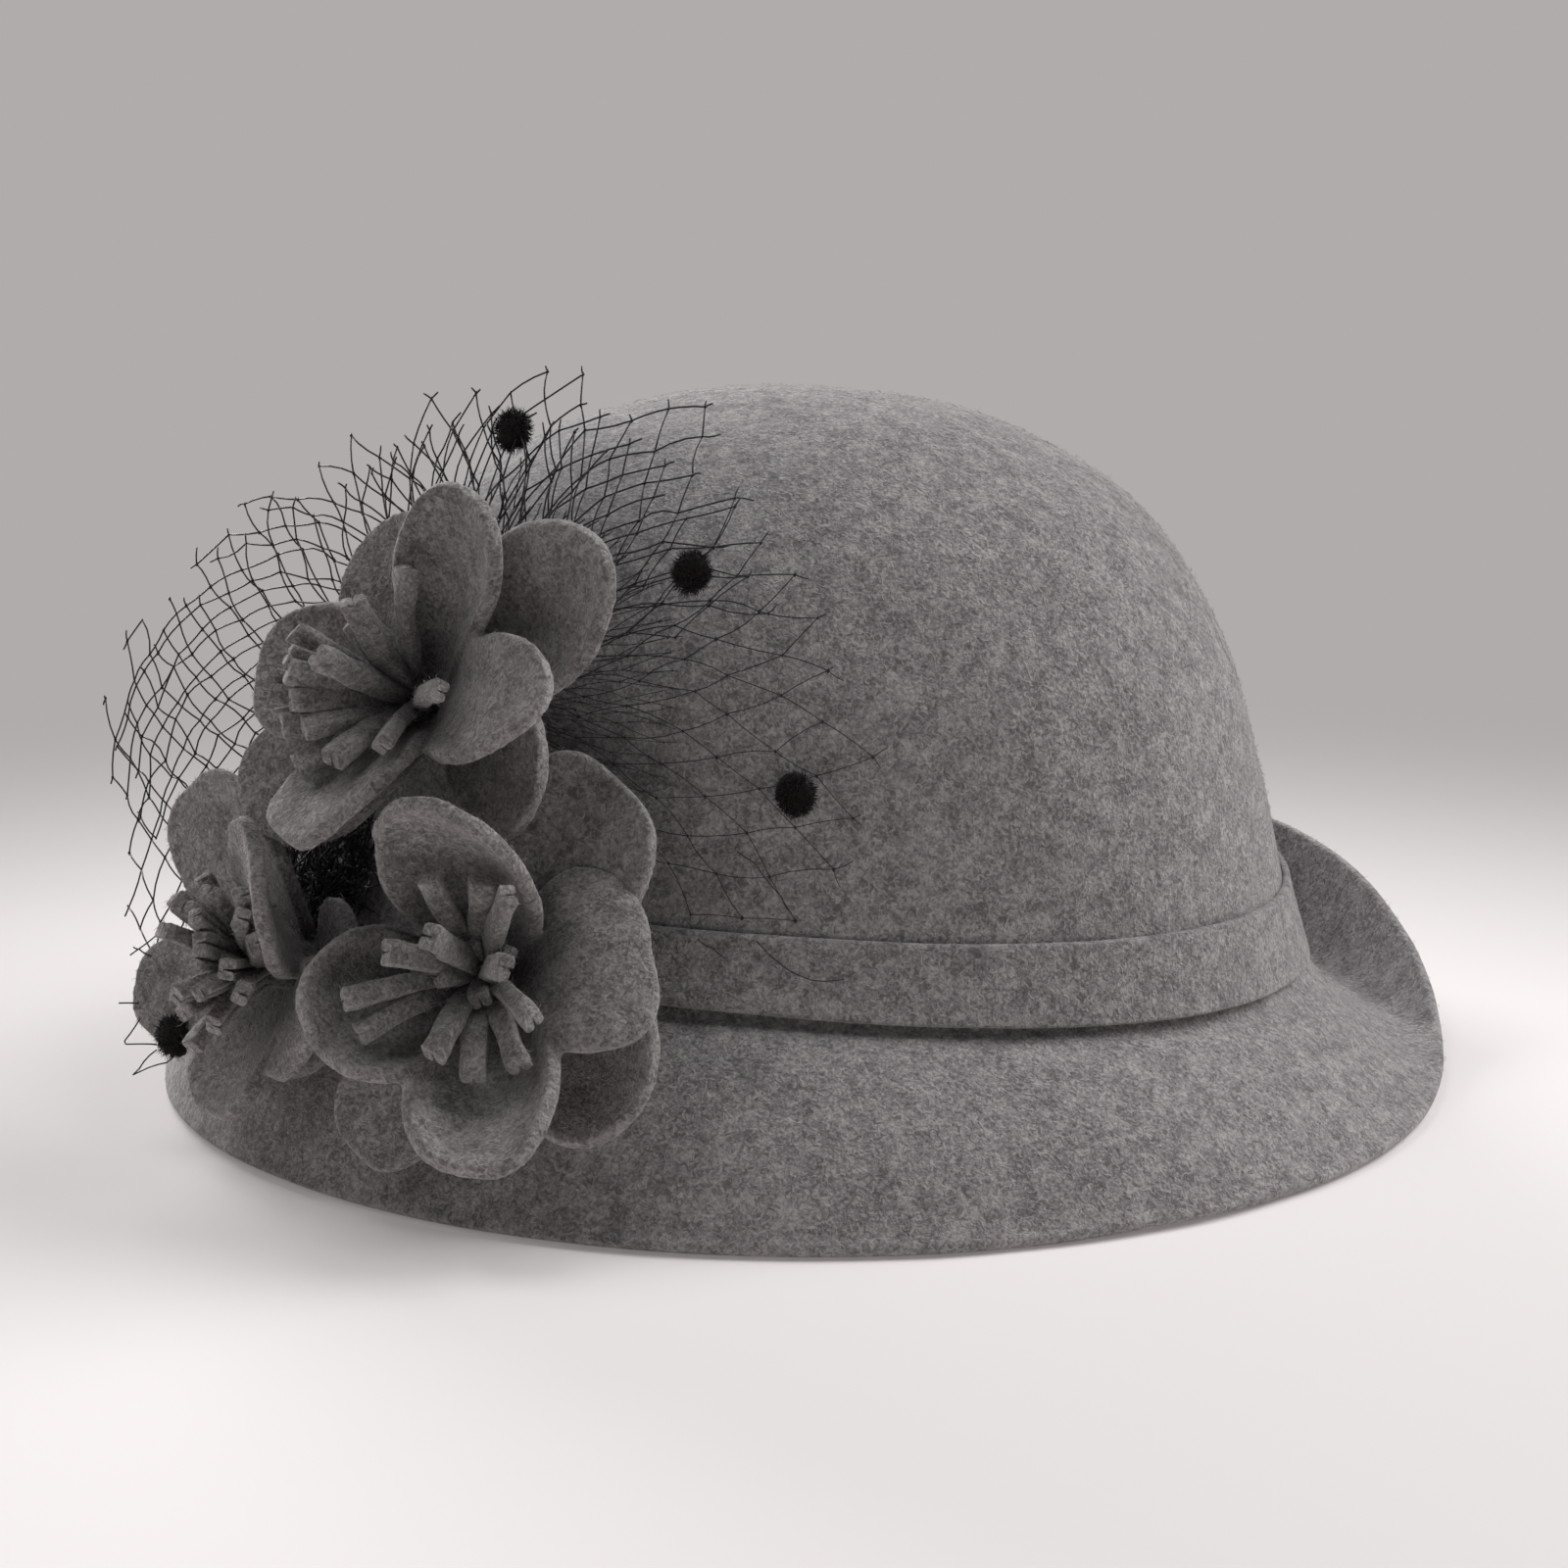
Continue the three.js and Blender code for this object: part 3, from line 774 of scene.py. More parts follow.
def dress(piece: bpy.types.Object, finish: Finish, *nodes: str) -> bpy.types.Object:
    """Gives a piece its finish, rides it on the hat and has it stand for its CAD nodes.

    Args:
        piece: The piece.
        finish: Its finish.
        nodes: The CAD nodes that it replaces.

    Returns:
        The same piece.
    """
    piece.data.materials.clear()
    piece.data.materials.append(finish.material())
    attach(piece, "root")
    if nodes:
        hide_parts(*nodes)
    log.info("%s: %d faces, %s", piece.name, len(piece.data.polygons), finish.name.lower())
    return piece


# ---- Crown and brim ------------------------------------------------------------------------------------


@dataclass(frozen=True)
class HatBody:
    """Crown and brim, blocked from one piece of felt."""

    felt: float = 2.6  # its thickness
    half_length: float = 101  # of the break line's plan, from front to back
    half_width: float = 87
    squareness: float = 2.25  # of that plan: 2 is an ellipse, more is squarer
    break_height: float = 33
    break_slope: float = -0.09  # how much the break line rises for each mm towards the back
    top: float = 134.6
    # the crown from its foot up: share of the break line's plan, share of the height
    outline: Rows = (
        (1, 0), (0.975, 0.1), (0.915, 0.34), (0.832, 0.566),
        (0.675, 0.779), (0.445, 0.918), (0.22, 0.981), (0, 1),
    )
    edge_centre: float = 3.75  # middle of the rim's plan, from the crown's axis towards the back
    edge_half_length: float = 129
    edge_half_width: float = 121
    # degrees from the back, share of the rim's plan, height of the rim, knee's share of the reach and height
    brim: Rows = (
        (0, 0.98, 7.5, 0.74, -1), (13, 0.99, 17, 0.8, -8), (24, 0.996, 25, 0.82, -10),
        (37, 0.998, 31, 0.82, -10), (60, 0.99, 36, 0.8, -8), (85, 0.98, 34, 0.8, -5),
        (108, 0.985, 19, 0.74, 0), (128, 1, 5, 0.64, 16), (150, 1, 0.8, 0.56, 27), (180, 1, 0.8, 0.54, 32),
        (225, 1, 0.8, 0.56, 29), (270, 1, 0.8, 0.6, 24), (288, 1, 0.8, 0.6, 22), (298, 1, 1.6, 0.6, 21),
        (314, 0.995, 1.0, 0.6, 17), (330, 0.99, 1.6, 0.64, 11), (345, 0.982, 3.2, 0.7, 5),
    )
    columns: int = 240
    crown_rows: int = 96
    brim_rows: int = 56
    under_rows: int = 60
    undulation: float = 0.35  # height of the felt's waves
    long_wave: float = 34
    short_wave: float = 13
    fibres: int = 22000  # loose ones; felt has many more, all finer

    def profile(self, count: int = 1200) -> tuple[Array, Array]:
        """Smooths the crown's outline and cuts it at equal steps from the break line to the top.

        Args:
            count: How many points.

        Returns:
            Shares of the break line's plan, and shares of the crown's height.
        """
        p = np.array(self.outline, float)
        p = np.vstack([p[0], p, [-p[-2][0], p[-2][1]]])
        t = np.linspace(0, len(self.outline) - 1 - 1e-9, 6000)
        i = t.astype(int)
        k = (t - i)[:, None]
        a, b, c, d = p[i], p[i + 1], p[i + 2], p[i + 3]
        v0, v1 = (c - a) / 2, (d - b) / 2
        line = (2 * b - 2 * c + v0 + v1) * k**3 + (-3 * b + 3 * c - 2 * v0 - v1) * k**2 + v0 * k + b
        run = np.concatenate([[0], np.cumsum(np.linalg.norm(np.diff(line, axis=0), axis=1))])
        even = np.linspace(0, run[-1], count)
        return np.interp(even, run, line[:, 0]), np.interp(even, run, line[:, 1])

    def crown(self, degrees: Array, size: Array, up: Array) -> Array:
        """Points of the crown's outer face.

        Args:
            degrees: Degrees from the back.
            size: Share of the break line's plan.
            up: Share of the crown's height.

        Returns:
            The points, in the shape that the three arrays have together.
        """
        angle = np.radians(degrees)
        x = self.half_length * signed_power(np.cos(angle), 2 / self.squareness)
        y = self.half_width * signed_power(np.sin(angle), 2 / self.squareness)
        tilt = self.break_slope * x * (1 - up) ** 2
        z = self.break_height + up * (self.top - self.break_height) + tilt
        return np.stack(np.broadcast_arrays(size * x, size * y, z), -1)

    def brim_face(self, degrees: Array, along: Array) -> Array:
        """Points of the brim's upper face.

        Args:
            degrees: Degrees from the back.
            along: 0 at the break line to 1 at the rim.

        Returns:
            The points.
        """
        spread, rim_up, knee_out, knee_up = np.moveaxis(table_at(self.brim, degrees), -1, 0)
        angle = np.radians(degrees)
        start = self.crown(degrees, np.array(1.0), np.array(0.0))
        rim = np.stack([
            self.edge_centre + spread * self.edge_half_length * np.cos(angle),
            spread * self.edge_half_width * np.sin(angle),
            rim_up,
        ], -1)
        knee = start + (rim - start) * knee_out[..., None]
        knee[..., 2] = knee_up
        k = along[..., None]
        return start * (1 - k) ** 2 + 2 * knee * k * (1 - k) + rim * k**2

    def sheet(self) -> Array:
        """Lays out the felt's upper face, with the fold at the break line rounded.

        Returns:
            The grid, from the crown's top to the rim.
        """
        degrees = np.arange(self.columns) * 360 / self.columns
        size, up = self.profile(self.crown_rows + 1)
        size, up = size[::-1][1:, None], up[::-1][1:, None]
        crown = self.crown(degrees[None, :], size, up)
        along = (np.arange(1, self.brim_rows + 1) / self.brim_rows)[:, None] * np.ones((1, self.columns))
        brim = self.brim_face(np.broadcast_to(degrees, along.shape), along)
        face = np.concatenate([crown, brim])
        spread, rounds = 3.0, 12  # rows on either side of the break line that are smoothed, and how often
        fold = np.exp(-(((np.arange(len(face)) - self.crown_rows) / spread) ** 2))[:, None, None]
        for _ in range(rounds):
            soft = face.copy()
            soft[1:-1] = (face[:-2] + 2 * face[1:-1] + face[2:]) / 4
            face = face + (soft - face) * fold
        return face

    def normals(self, face: Array) -> Array:
        """Unit normals of the felt, away from the head.

        Args:
            face: A grid from the crown's top to the rim.

        Returns:
            A normal for each point.
        """
        normals = grid_normals(face, wraps=True)
        return normals * np.sign(normals[0, :, 2].mean())

    def middle(self) -> Array:
        """Lays out the felt's middle, with the rim lying on the table and not in it.

        Returns:
            The grid, from the crown's top to the rim.
        """
        face = self.sheet()
        half = self.felt / 2
        normals = self.normals(face)
        middle = face - normals * half
        # the waves are weak round the break line, where the band holds the felt, and at the crown's top
        calm = np.ones(len(middle))
        calm[self.crown_rows - 14 : self.crown_rows + 6] = 0.15
        calm = np.convolve(np.pad(calm, 6, mode="edge"), np.ones(13) / 13, "valid")
        calm[:3] = 0.4
        swell = waves(middle, self.long_wave, 11) * 0.75 + waves(middle, self.short_wave, 12) * 0.25
        middle = middle + normals * (self.undulation * swell * calm[:, None])[..., None]
        # the last rows close up, so that the rounded rim ends where the felt did
        last = 6
        end = middle[-1] - unit(middle[-1] - middle[-2]) * half * 0.85
        share = (np.arange(1, last + 1) / last)[:, None, None]
        middle[-last:] = middle[-last - 1] + (end - middle[-last - 1]) * share
        # what would sink into the table is eased up on to it
        floor, ease = half + 0.05, 0.8
        height = middle[..., 2] - floor
        eased = floor + np.log1p(np.exp(np.clip(height / ease, -20, 20))) * ease
        middle[..., 2] = np.where(height < 3, eased, middle[..., 2])
        return middle

    def build(self) -> None:
        """Builds and dresses the body and its loose fibres."""
        middle = self.middle()
        half, normals = self.felt / 2, self.normals(middle)
        outer, inner = middle + normals * half, middle - normals * half
        end, normal = middle[-1], normals[-1]
        out = unit(end - middle[-2])
        out = unit(out - normal * np.sum(out * normal, -1, keepdims=True))
        pick = np.unique(np.linspace(0, len(inner) - 1, self.under_rows).round().astype(int))[::-1]
        shell = np.concatenate([outer, rounded(end, normal * half, out * half, (0.7, 0.7)), inner[pick]])
        shell[..., 2] = np.maximum(shell[..., 2], 0.02)  # just over the table
        cloud = Cloud()
        cloud.grid(shell, wraps=True, ends=True)
        body = dress(cloud.mesh("felt_body"), Finish.BODY, "hat_body")
        loose = nap([body], self.fibres, 1.2, 31, outer=True)
        dress(loose.mesh("felt_body_nap"), Finish.BODY_NAP, "hat_body")


# ---- Band ----------------------------------------------------------------------------------------------


@dataclass(frozen=True)
class HatBand:
    """A strip of felt round the crown's foot, proud of the brim along its lower edge."""

    body: HatBody
    tall: float = 12.4
    thick: float = 1.5
    clear: float = 0.1  # gap to the crown
    lift: float = 1.4  # its lower edge over the break line
    # degrees from the back, how far the lower edge stands off
    stands_off: Rows = (
        (0, 1.0), (60, 1.2), (120, 1.4), (180, 1.6), (235, 2.0), (270, 2.2), (300, 1.9), (330, 1.1),
    )
    columns: int = 240
    rows: int = 14

    def build(self) -> None:
        """Builds and dresses the band."""
        size, up = self.body.profile()
        height = self.body.top - self.body.break_height
        down = np.linspace(0, 1, self.rows)
        at_up = (self.lift + self.tall * (1 - down)) / height
        degrees = np.arange(self.columns) * 360 / self.columns
        share = np.interp(at_up, up, size)
        face = self.body.crown(degrees[None, :], share[:, None], at_up[:, None])
        power = self.body.squareness - 1
        outward = unit(np.stack([
            signed_power(face[..., 0] / self.body.half_length, power) / self.body.half_length,
            signed_power(face[..., 1] / self.body.half_width, power) / self.body.half_width,
            np.zeros(face.shape[:2]),
        ], -1))
        proud = table_at(self.stands_off, degrees)[:, 0]
        off = self.clear + self.thick / 2 + proud[None, :] * down[:, None] ** 1.5
        middle = face + outward * (off + 0.12 * waves(face, 16, 21))[..., None]
        normals = grid_normals(middle, wraps=True)
        half = self.thick / 2
        normals = normals * np.sign(np.sum(normals * outward)) * half
        low_out, top_out = unit(middle[-1] - middle[-2]) * half, unit(middle[0] - middle[1]) * half
        low = rounded(middle[-1], normals[-1], low_out, (0.6, 0.6), 0.6)
        # the upper edge slopes outwards, so it catches the light from above
        top = rounded(middle[0], -normals[0], top_out, (0.6, 1.5), 0.85)
        loop = np.concatenate([middle + normals, low, (middle - normals)[::-1], top])
        cloud = Cloud()
        cloud.grid(np.concatenate([loop, loop[:1]]), wraps=True)
        piece = cloud.mesh("felt_band")
        weld = piece.modifiers.new("weld", "WELD")
        weld.merge_threshold = 1e-6
        applied(piece)
        dress(piece, Finish.BAND, "hat_band")


# ---- Flowers -------------------------------------------------------------------------------------------


@dataclass(frozen=True)
class Petal:
    """One petal, a die-cut sheet that is bent along its length and cupped across it."""

    at: float  # degrees round the flower's face
    lift: float  # degrees that it rises at its root
    bend: float  # how that changes by its tip
    long: float  # its length
    half: float  # half its width
    cup: float  # degrees that each side turns up
    pinch: float = 18  # more of it at the root
    tilt: float = 0  # degrees that it turns about its own length
    skew: float = 0  # how far its tip swings sideways
    squareness: float = 2.5
    # how often its hand-cut edge swings in and out, and by what share
    uneven: tuple[tuple[int, float], ...] = ((2, 0.02), (3, 0.026), (5, 0.018))

    def sheet(self, cells: int, start: float, seed: int) -> Array:
        """The petal's middle grid in the flower's frame.

        Args:
            cells: Cells along and across.
            start: Where it starts, from the flower's axis.
            seed: Seed of its waviness.

        Returns:
            The grid.
        """
        lift, bend, tilt = (math.radians(a) for a in (self.lift, self.bend, self.tilt))
        v, u = np.meshgrid(np.linspace(-1, 1, cells + 1), np.linspace(-1, 1, cells + 1), indexing="ij")
        side, top = u * np.sqrt(1 - v**2 / 2), v * np.sqrt(1 - u**2 / 2)
        size = np.maximum(np.hypot(side, top), 1e-3)
        square = self.squareness
        wider = np.maximum(np.abs(side / size) ** square + np.abs(top / size) ** square, 0.5) ** (-1 / square)
        turn, phases = np.arctan2(top, side), np.random.default_rng(seed + 90).uniform(0, 2 * math.pi, 3)
        swings = sum(
            amount * np.sin(times * turn + phase) for (times, amount), phase in zip(self.uneven, phases)
        )
        wider = wider * (1 + swings * np.minimum(size, 1) ** 3)
        side, share = side * wider, (top * wider + 1) / 2
        slope = lift + bend * share
        forward = self.long * (np.sin(slope) - math.sin(lift)) / bend
        rise = self.long * (math.cos(lift) - np.cos(slope)) / bend
        # its root is 0.55 as wide as the petal, which is widest from 0.65 of its length on
        half = self.half * (0.55 + 0.45 * np.sin(math.pi / 2 * np.minimum(1, share / 0.65)))
        cup = np.radians(self.cup + self.pinch * (1 - share) ** 2)
        cup = np.where(np.abs(cup) < 0.002, 0.002, cup)  # never flat, because it is divided by
        lateral, turned = half * np.sin(side * cup) / cup, half * (1 - np.cos(side * cup)) / cup
        lateral, turned = (
            lateral * math.cos(tilt) - turned * math.sin(tilt) + self.skew * share**2,
            lateral * math.sin(tilt) + turned * math.cos(tilt),
        )
        a = math.radians(self.at)
        along, across = np.array([math.cos(a), math.sin(a), 0]), np.array([-math.sin(a), math.cos(a), 0])
        points = (
            (start + forward - np.sin(slope) * turned)[..., None] * along
            + (rise + np.cos(slope) * turned)[..., None] * np.array([0, 0, 1.0])
            + lateral[..., None] * across
        )
        ripple = 0.55 * waves(points, 17, seed) + 0.16 * waves(points, 6, seed + 1)
        return points + grid_normals(points) * (ripple * np.clip(share * 1.4, 0, 1))[..., None]


@dataclass(frozen=True)
class Stamen:
    """One stamen, a strip of felt."""

    at: float  # degrees round the flower's face
    lean: float  # degrees from the flower's axis
    long: float
    wide: float = 4.1


@dataclass(frozen=True)
class FlowerSizes:
    """What the three flowers share."""

    felt: float = 2.8  # thickness of a petal
    hub: float = 5.5  # radius of a layer's pinched middle
    hub_half: float = 1.6  # half its height
    start: float = 3  # from the axis to a petal's root
    clear: float = 0.35  # gap between the layers, and under the fringe
    roll: float = 3.6  # radius of the fringe's rolled foot
    roll_tall: float = 4
    strip: float = 3.0  # thickness of a stamen
    cells: int = 26  # of a petal's grid, along and across
    grain: float = 0.6  # cells of the skin that the petals are melted into
    dark: float = 7  # round its heart, where its painted shade is darkest
    fades: float = 17  # from there on, until the painted shade is gone and it is as light as the rest
    fibres: int = 11000  # loose ones on each flower


def rod(radius_low: float, radius_high: float, low: float, high: float, sides: int, cloud: Cloud) -> None:
    """Adds an upright closed cone or cylinder round the origin.

    Args:
        radius_low: Its radius at its foot.
        radius_high: Its radius at its top.
        low: Height of its foot.
        high: Height of its top.
        sides: Sides of its circle.
        cloud: Where it is added.
    """
    ring = circle(sides)
    grid = np.array([ring * radius_low + [0, 0, low], ring * radius_high + [0, 0, high]])
    cloud.grid(grid, wraps=True, ends=True)


@dataclass(frozen=True)
class Flower:
    """A felt flower: two four-petal layers, a stub that carries it and a fringe of stamens."""

    name: str
    heart: Point
    face: Facing
    stub: float
    front: tuple[Petal, ...]
    back: tuple[Petal, ...]
    stamens: tuple[Stamen, ...]
    sizes: FlowerSizes = FlowerSizes()

    def placed(self, points: Array, out_by: float) -> Array:
        """Points of the flower's frame set in the hat's, a distance out from the heart."""
        basis = self.face.basis()
        return points @ basis + np.array(self.heart) + basis[2] * out_by

    def layer(self, petals: Sequence[Petal], out_by: float, stub: float, seed: int) -> Cloud:
        """One layer of petals round its pinched hub.

        Args:
            petals: The layer's petals.
            out_by: How far out from the heart.
            stub: Length of the stub behind it, 0 for none.
            seed: Seed of the petals' waviness.

        Returns:
            The layer's overlapping sheets.
        """
        s, cloud = self.sizes, Cloud()
        for k, petal in enumerate(petals):
            thick_sheet(petal.sheet(s.cells, s.start, seed + k), s.felt / 2, cloud)
        rod(s.hub, s.hub, -s.hub_half, s.hub_half, 24, cloud)
        if stub:
            rod(s.hub + 1, s.hub - 1, -stub, 0, 24, cloud)
        return cloud.moved(lambda points: self.placed(points, out_by))

    def fringe(self) -> Cloud:
        """Sets the stamens, each a folded strip with a cut end, round their rolled foot.

        Returns:
            The stamens and the foot.
        """
        s, cloud = self.sizes, Cloud()
        rod(s.roll, s.roll, 0, s.roll_tall, 16, cloud)
        for k, stamen in enumerate(self.stamens):
            self.strip(stamen, k, cloud)
        return cloud.moved(lambda points: self.placed(points, s.hub_half + s.clear))

    def strip(self, stamen: Stamen, k: int, cloud: Cloud) -> None:
        """Adds one stamen: a strip folded along its length, so that a groove runs down one side.

        Args:
            stamen: The stamen.
            k: Its number, which seeds its unevenness.
            cloud: Where it is added.
        """
        s = self.sizes
        rng = np.random.default_rng(700 + k)
        a, upward = math.radians(stamen.at), np.array([0, 0, 1.0])
        outward, foot = np.array([math.cos(a), math.sin(a), 0.0]), upward * s.roll_tall / 2

        def leaning(share: float, reach: float) -> Array:
            """The point at a reach from the foot, at a share of the stamen's lean."""
            tip = math.radians(stamen.lean * share)
            return foot + reach * (math.sin(tip) * outward + math.cos(tip) * upward)

        p0, p1, p2 = leaning(1, 1.5), leaning(0.7, 0.5 * stamen.long), leaning(1, stamen.long)
        t = np.linspace(0, 1, 15)[:, None]
        path = p0 * (1 - t) ** 2 + 2 * p1 * t * (1 - t) + p2 * t**2
        tangent = unit(np.gradient(path, axis=0))
        side = unit(np.cross(tangent, outward) + 1e-6)
        turn = math.radians(rng.uniform(-35, 35)) * t
        other = unit(np.cross(tangent, side))
        side, other = side * np.cos(turn) + other * np.sin(turn), other * np.cos(turn) - side * np.sin(turn)
        w, h = stamen.wide / 2 * rng.uniform(0.9, 1.14), s.strip / 2
        # half the groove's width at its mouth and at its floor, its lips, and the strip's rounded edges
        slot, floor, lip, lip_deep, edge = 0.28, 0.1, 0.4, 0.3, 0.42
        section = np.array([
            (-w, -h + edge), (-w + edge, -h), (-slot - lip, -h), (-slot, -h + lip_deep),
            (-floor, h * 0.3), (floor, h * 0.3),
            (slot, -h + lip_deep), (slot + lip, -h), (w - edge, -h), (w, -h + edge),
            (w, h - edge), (w - edge, h), (-w + edge, h), (-w, h - edge),
        ])
        narrow = 0.84 + 0.16 * t
        rings = (
            path[:, None] + (section[:, 0] * narrow)[..., None] * side[:, None]
            + (section[:, 1] * narrow)[..., None] * other[:, None]
        )
        rings = rings + unit(rings - path[:, None]) * (0.2 * waves(rings, 5, 710 + k))[..., None]
        # the scissors' cut slants a little, and its rim is rounded
        slant = ((rings[-1] - path[-1]) @ side[-1])[:, None] * rng.normal(0, 0.16) * tangent[-1]
        cut = path[-1] + (rings[-1] - path[-1]) * 0.93 + tangent[-1] * 0.18 + slant
        rings[-1] += slant
        before = cloud.total
        cloud.grid(np.concatenate([rings, cut[None]]), wraps=True)
        n = len(section)
        cloud.caps.append(list(range(before, before + n)))
        cloud.caps.append(list(range(before + (len(rings) + 1) * n - 1, before + len(rings) * n - 1, -1)))

    def shade(self, piece: bpy.types.Object) -> None:
        """Marks how open each point lies: the finish paints shade on the felt deep between the petals, where
        shade falls among them.

        Args:
            piece: The piece, which gets the attribute "open": 0 at the flower's heart to 1 outside.
        """
        local = (vertices(piece.data) / MM - SHIFT - np.array(self.heart)) @ self.face.basis().T
        away = np.linalg.norm(local * [1, 1, 0.85], axis=1)
        share = np.clip((away - self.sizes.dark) / self.sizes.fades, 0, 1)
        opened = piece.data.attributes.new("open", "FLOAT", "POINT")
        opened.data.foreach_set("value", share * share * (3 - 2 * share))

    def build(self) -> None:
        """Builds and dresses the flower's two layers, its fringe and its loose fibres."""
        s, named = self.sizes, f"flower_{self.name}_"
        seed = 100 + 10 * sum(map(ord, self.name))
        front = self.layer(self.front, 0, 0, seed).mesh(named + "front_felt")
        back = self.layer(self.back, -2 * s.hub_half - s.clear, self.stub, seed + 5).mesh(named + "back_felt")
        fringe = self.fringe().mesh(named + "fringe")
        fringe.data.set_sharp_from_angle(angle=math.radians(52))
        pieces = (felted(front, s.grain), felted(back, s.grain), fringe)
        for piece in pieces:
            self.shade(piece)
        loose = nap(pieces, s.fibres, 1.3, seed + 9).mesh(named + "nap")
        for piece, node in zip(pieces, ("petals_front", "petals_back", "stamens")):
            dress(piece, Finish.FLOWER, named + node)
        dress(loose, Finish.FLOWER_NAP, named + "petals_front")


def petals(*rows: tuple[float, ...]) -> tuple[Petal, ...]:
    """Petals from rows of their values."""
    return tuple(Petal(*row) for row in rows)


def stamens(*rows: tuple[float, ...]) -> tuple[Stamen, ...]:
    """Stamens from rows of their values."""
    return tuple(Stamen(*row) for row in rows)


LOWER = Flower(
    "lower", (-52, -91, 41.5), Facing(12, 28), 16,
    petals((12, 59, -86, 32.5, 17.7, -18, 17, -13, -2.8), (92, 41, 34, 38, 15.5, 48, 6, -2, 5.3),
           (211, 22, 30, 34, 16.3, 46, 19, 0.6, -0.5), (283, 18.5, 24.5, 42, 15.6, 58, 2, -3.4, -1)),
    petals((59, 18, -6, 39.3, 16.7, 16, 18, 2, 1.9), (137, 1, -6, 14, 10, 8),
           (238, 8, -5, 36, 12, 14, 20, 3), (329, 11, 12, 36, 16.5, 23, 20, 10, -1.9)),
    stamens((117, 30, 25), (76, 32, 23), (47, 30, 25), (170, 8, 25), (190, 27, 25), (207, 50, 28),
            (222, 56, 27), (262, 47, 25), (280, 58, 25), (340, 24, 25), (322, 46, 25), (302, 60, 25),
            (95, 18, 12), (215, 24, 14), (290, 34, 13), (10, 34, 12), (150, 38, 13)),
)
UPPER = Flower(
    "upper", (-63, -71.5, 86.5), Facing(30, 16), 18,
    petals((1, 53, -47, 37.6, 12.4, 24, 4, -18, 2), (74, 16, 13, 38.7, 12.6, 45, 48, -0.6, -0.2),
           (171, 11, 10, 31.6, 14, 32, 20, 15.7, 2.6), (256, 66, -40, 38.5, 13.5, 5, 4, 24, -1)),
    petals((41, 7, 14, 42.9, 15.6, 41, 10, 6, 0.3), (122, 3, -12, 34.5, 14.6, 15, 20, -5.6, -1),
           (213, 12, -7, 40.5, 12.5, 11.5, 20, -0.5), (334, 18, -5, 28.8, 13, 10.7, 18, 9.6, -1.2)),
    stamens((84, 58, 26), (100, 36, 26), (152, 46, 26), (140, 16, 26), (172, 30, 26), (188, 42, 27),
            (209, 38, 26), (234, 44, 26), (262, 30, 25), (308, 30, 23), (5, 41, 26), (162, 36, 26),
            (179, 49, 26), (194, 30, 25), (168, 54, 25), (200, 50, 26), (221, 30, 24), (120, 44, 20),
            (225, 54, 25)),
)
FRONT = Flower(
    "front", (-89, -70, 37), Facing(55, 14), 16,
    petals((57, 63, -47, 35, 13, 15, 12, -2, 0.8), (203, 14, 17, 35.8, 11.5, 30, 16, 1.4, -0.4),
           (263, 18, 12, 27.6, 12.6, 30, 11, -1.3), (335, 26, -14, 22, 12, 20)),
    petals((141, 24, -8, 42.4, 14, 17, 20, 0, 0.5), (222, 12, -8, 22, 11, 10), (300, 14, -6, 17, 10, 12),
           (40, 6, -6, 13, 9, 10)),
    stamens((126, 32, 23), (75, 36, 23), (40, 45, 23), (30, 24, 23), (108, 12, 24), (6, 38, 23),
            (346, 30, 24), (318, 20, 24), (290, 42, 23), (92, 24, 23), (58, 26, 24), (58, 48, 22),
            (14, 22, 23), (352, 46, 22), (142, 42, 22), (110, 44, 22), (320, 40, 22), (300, 26, 22),
            (24, 50, 22)),
)


# ---- Veil ----------------------------------------------------------------------------------------------

YARN = 0.34  # thickness of the net's common yarn, mm


@dataclass(frozen=True)
class NetLayer:
    """One layer of the veil's net."""

    first: float  # degrees round the veil's root where it starts and stops
    last: float
    columns: int  # diamonds round it
    reach: float  # share of the veil's radius
    above: float  # how far it lies off the veil's face
    seed: int
    yarn: float = YARN


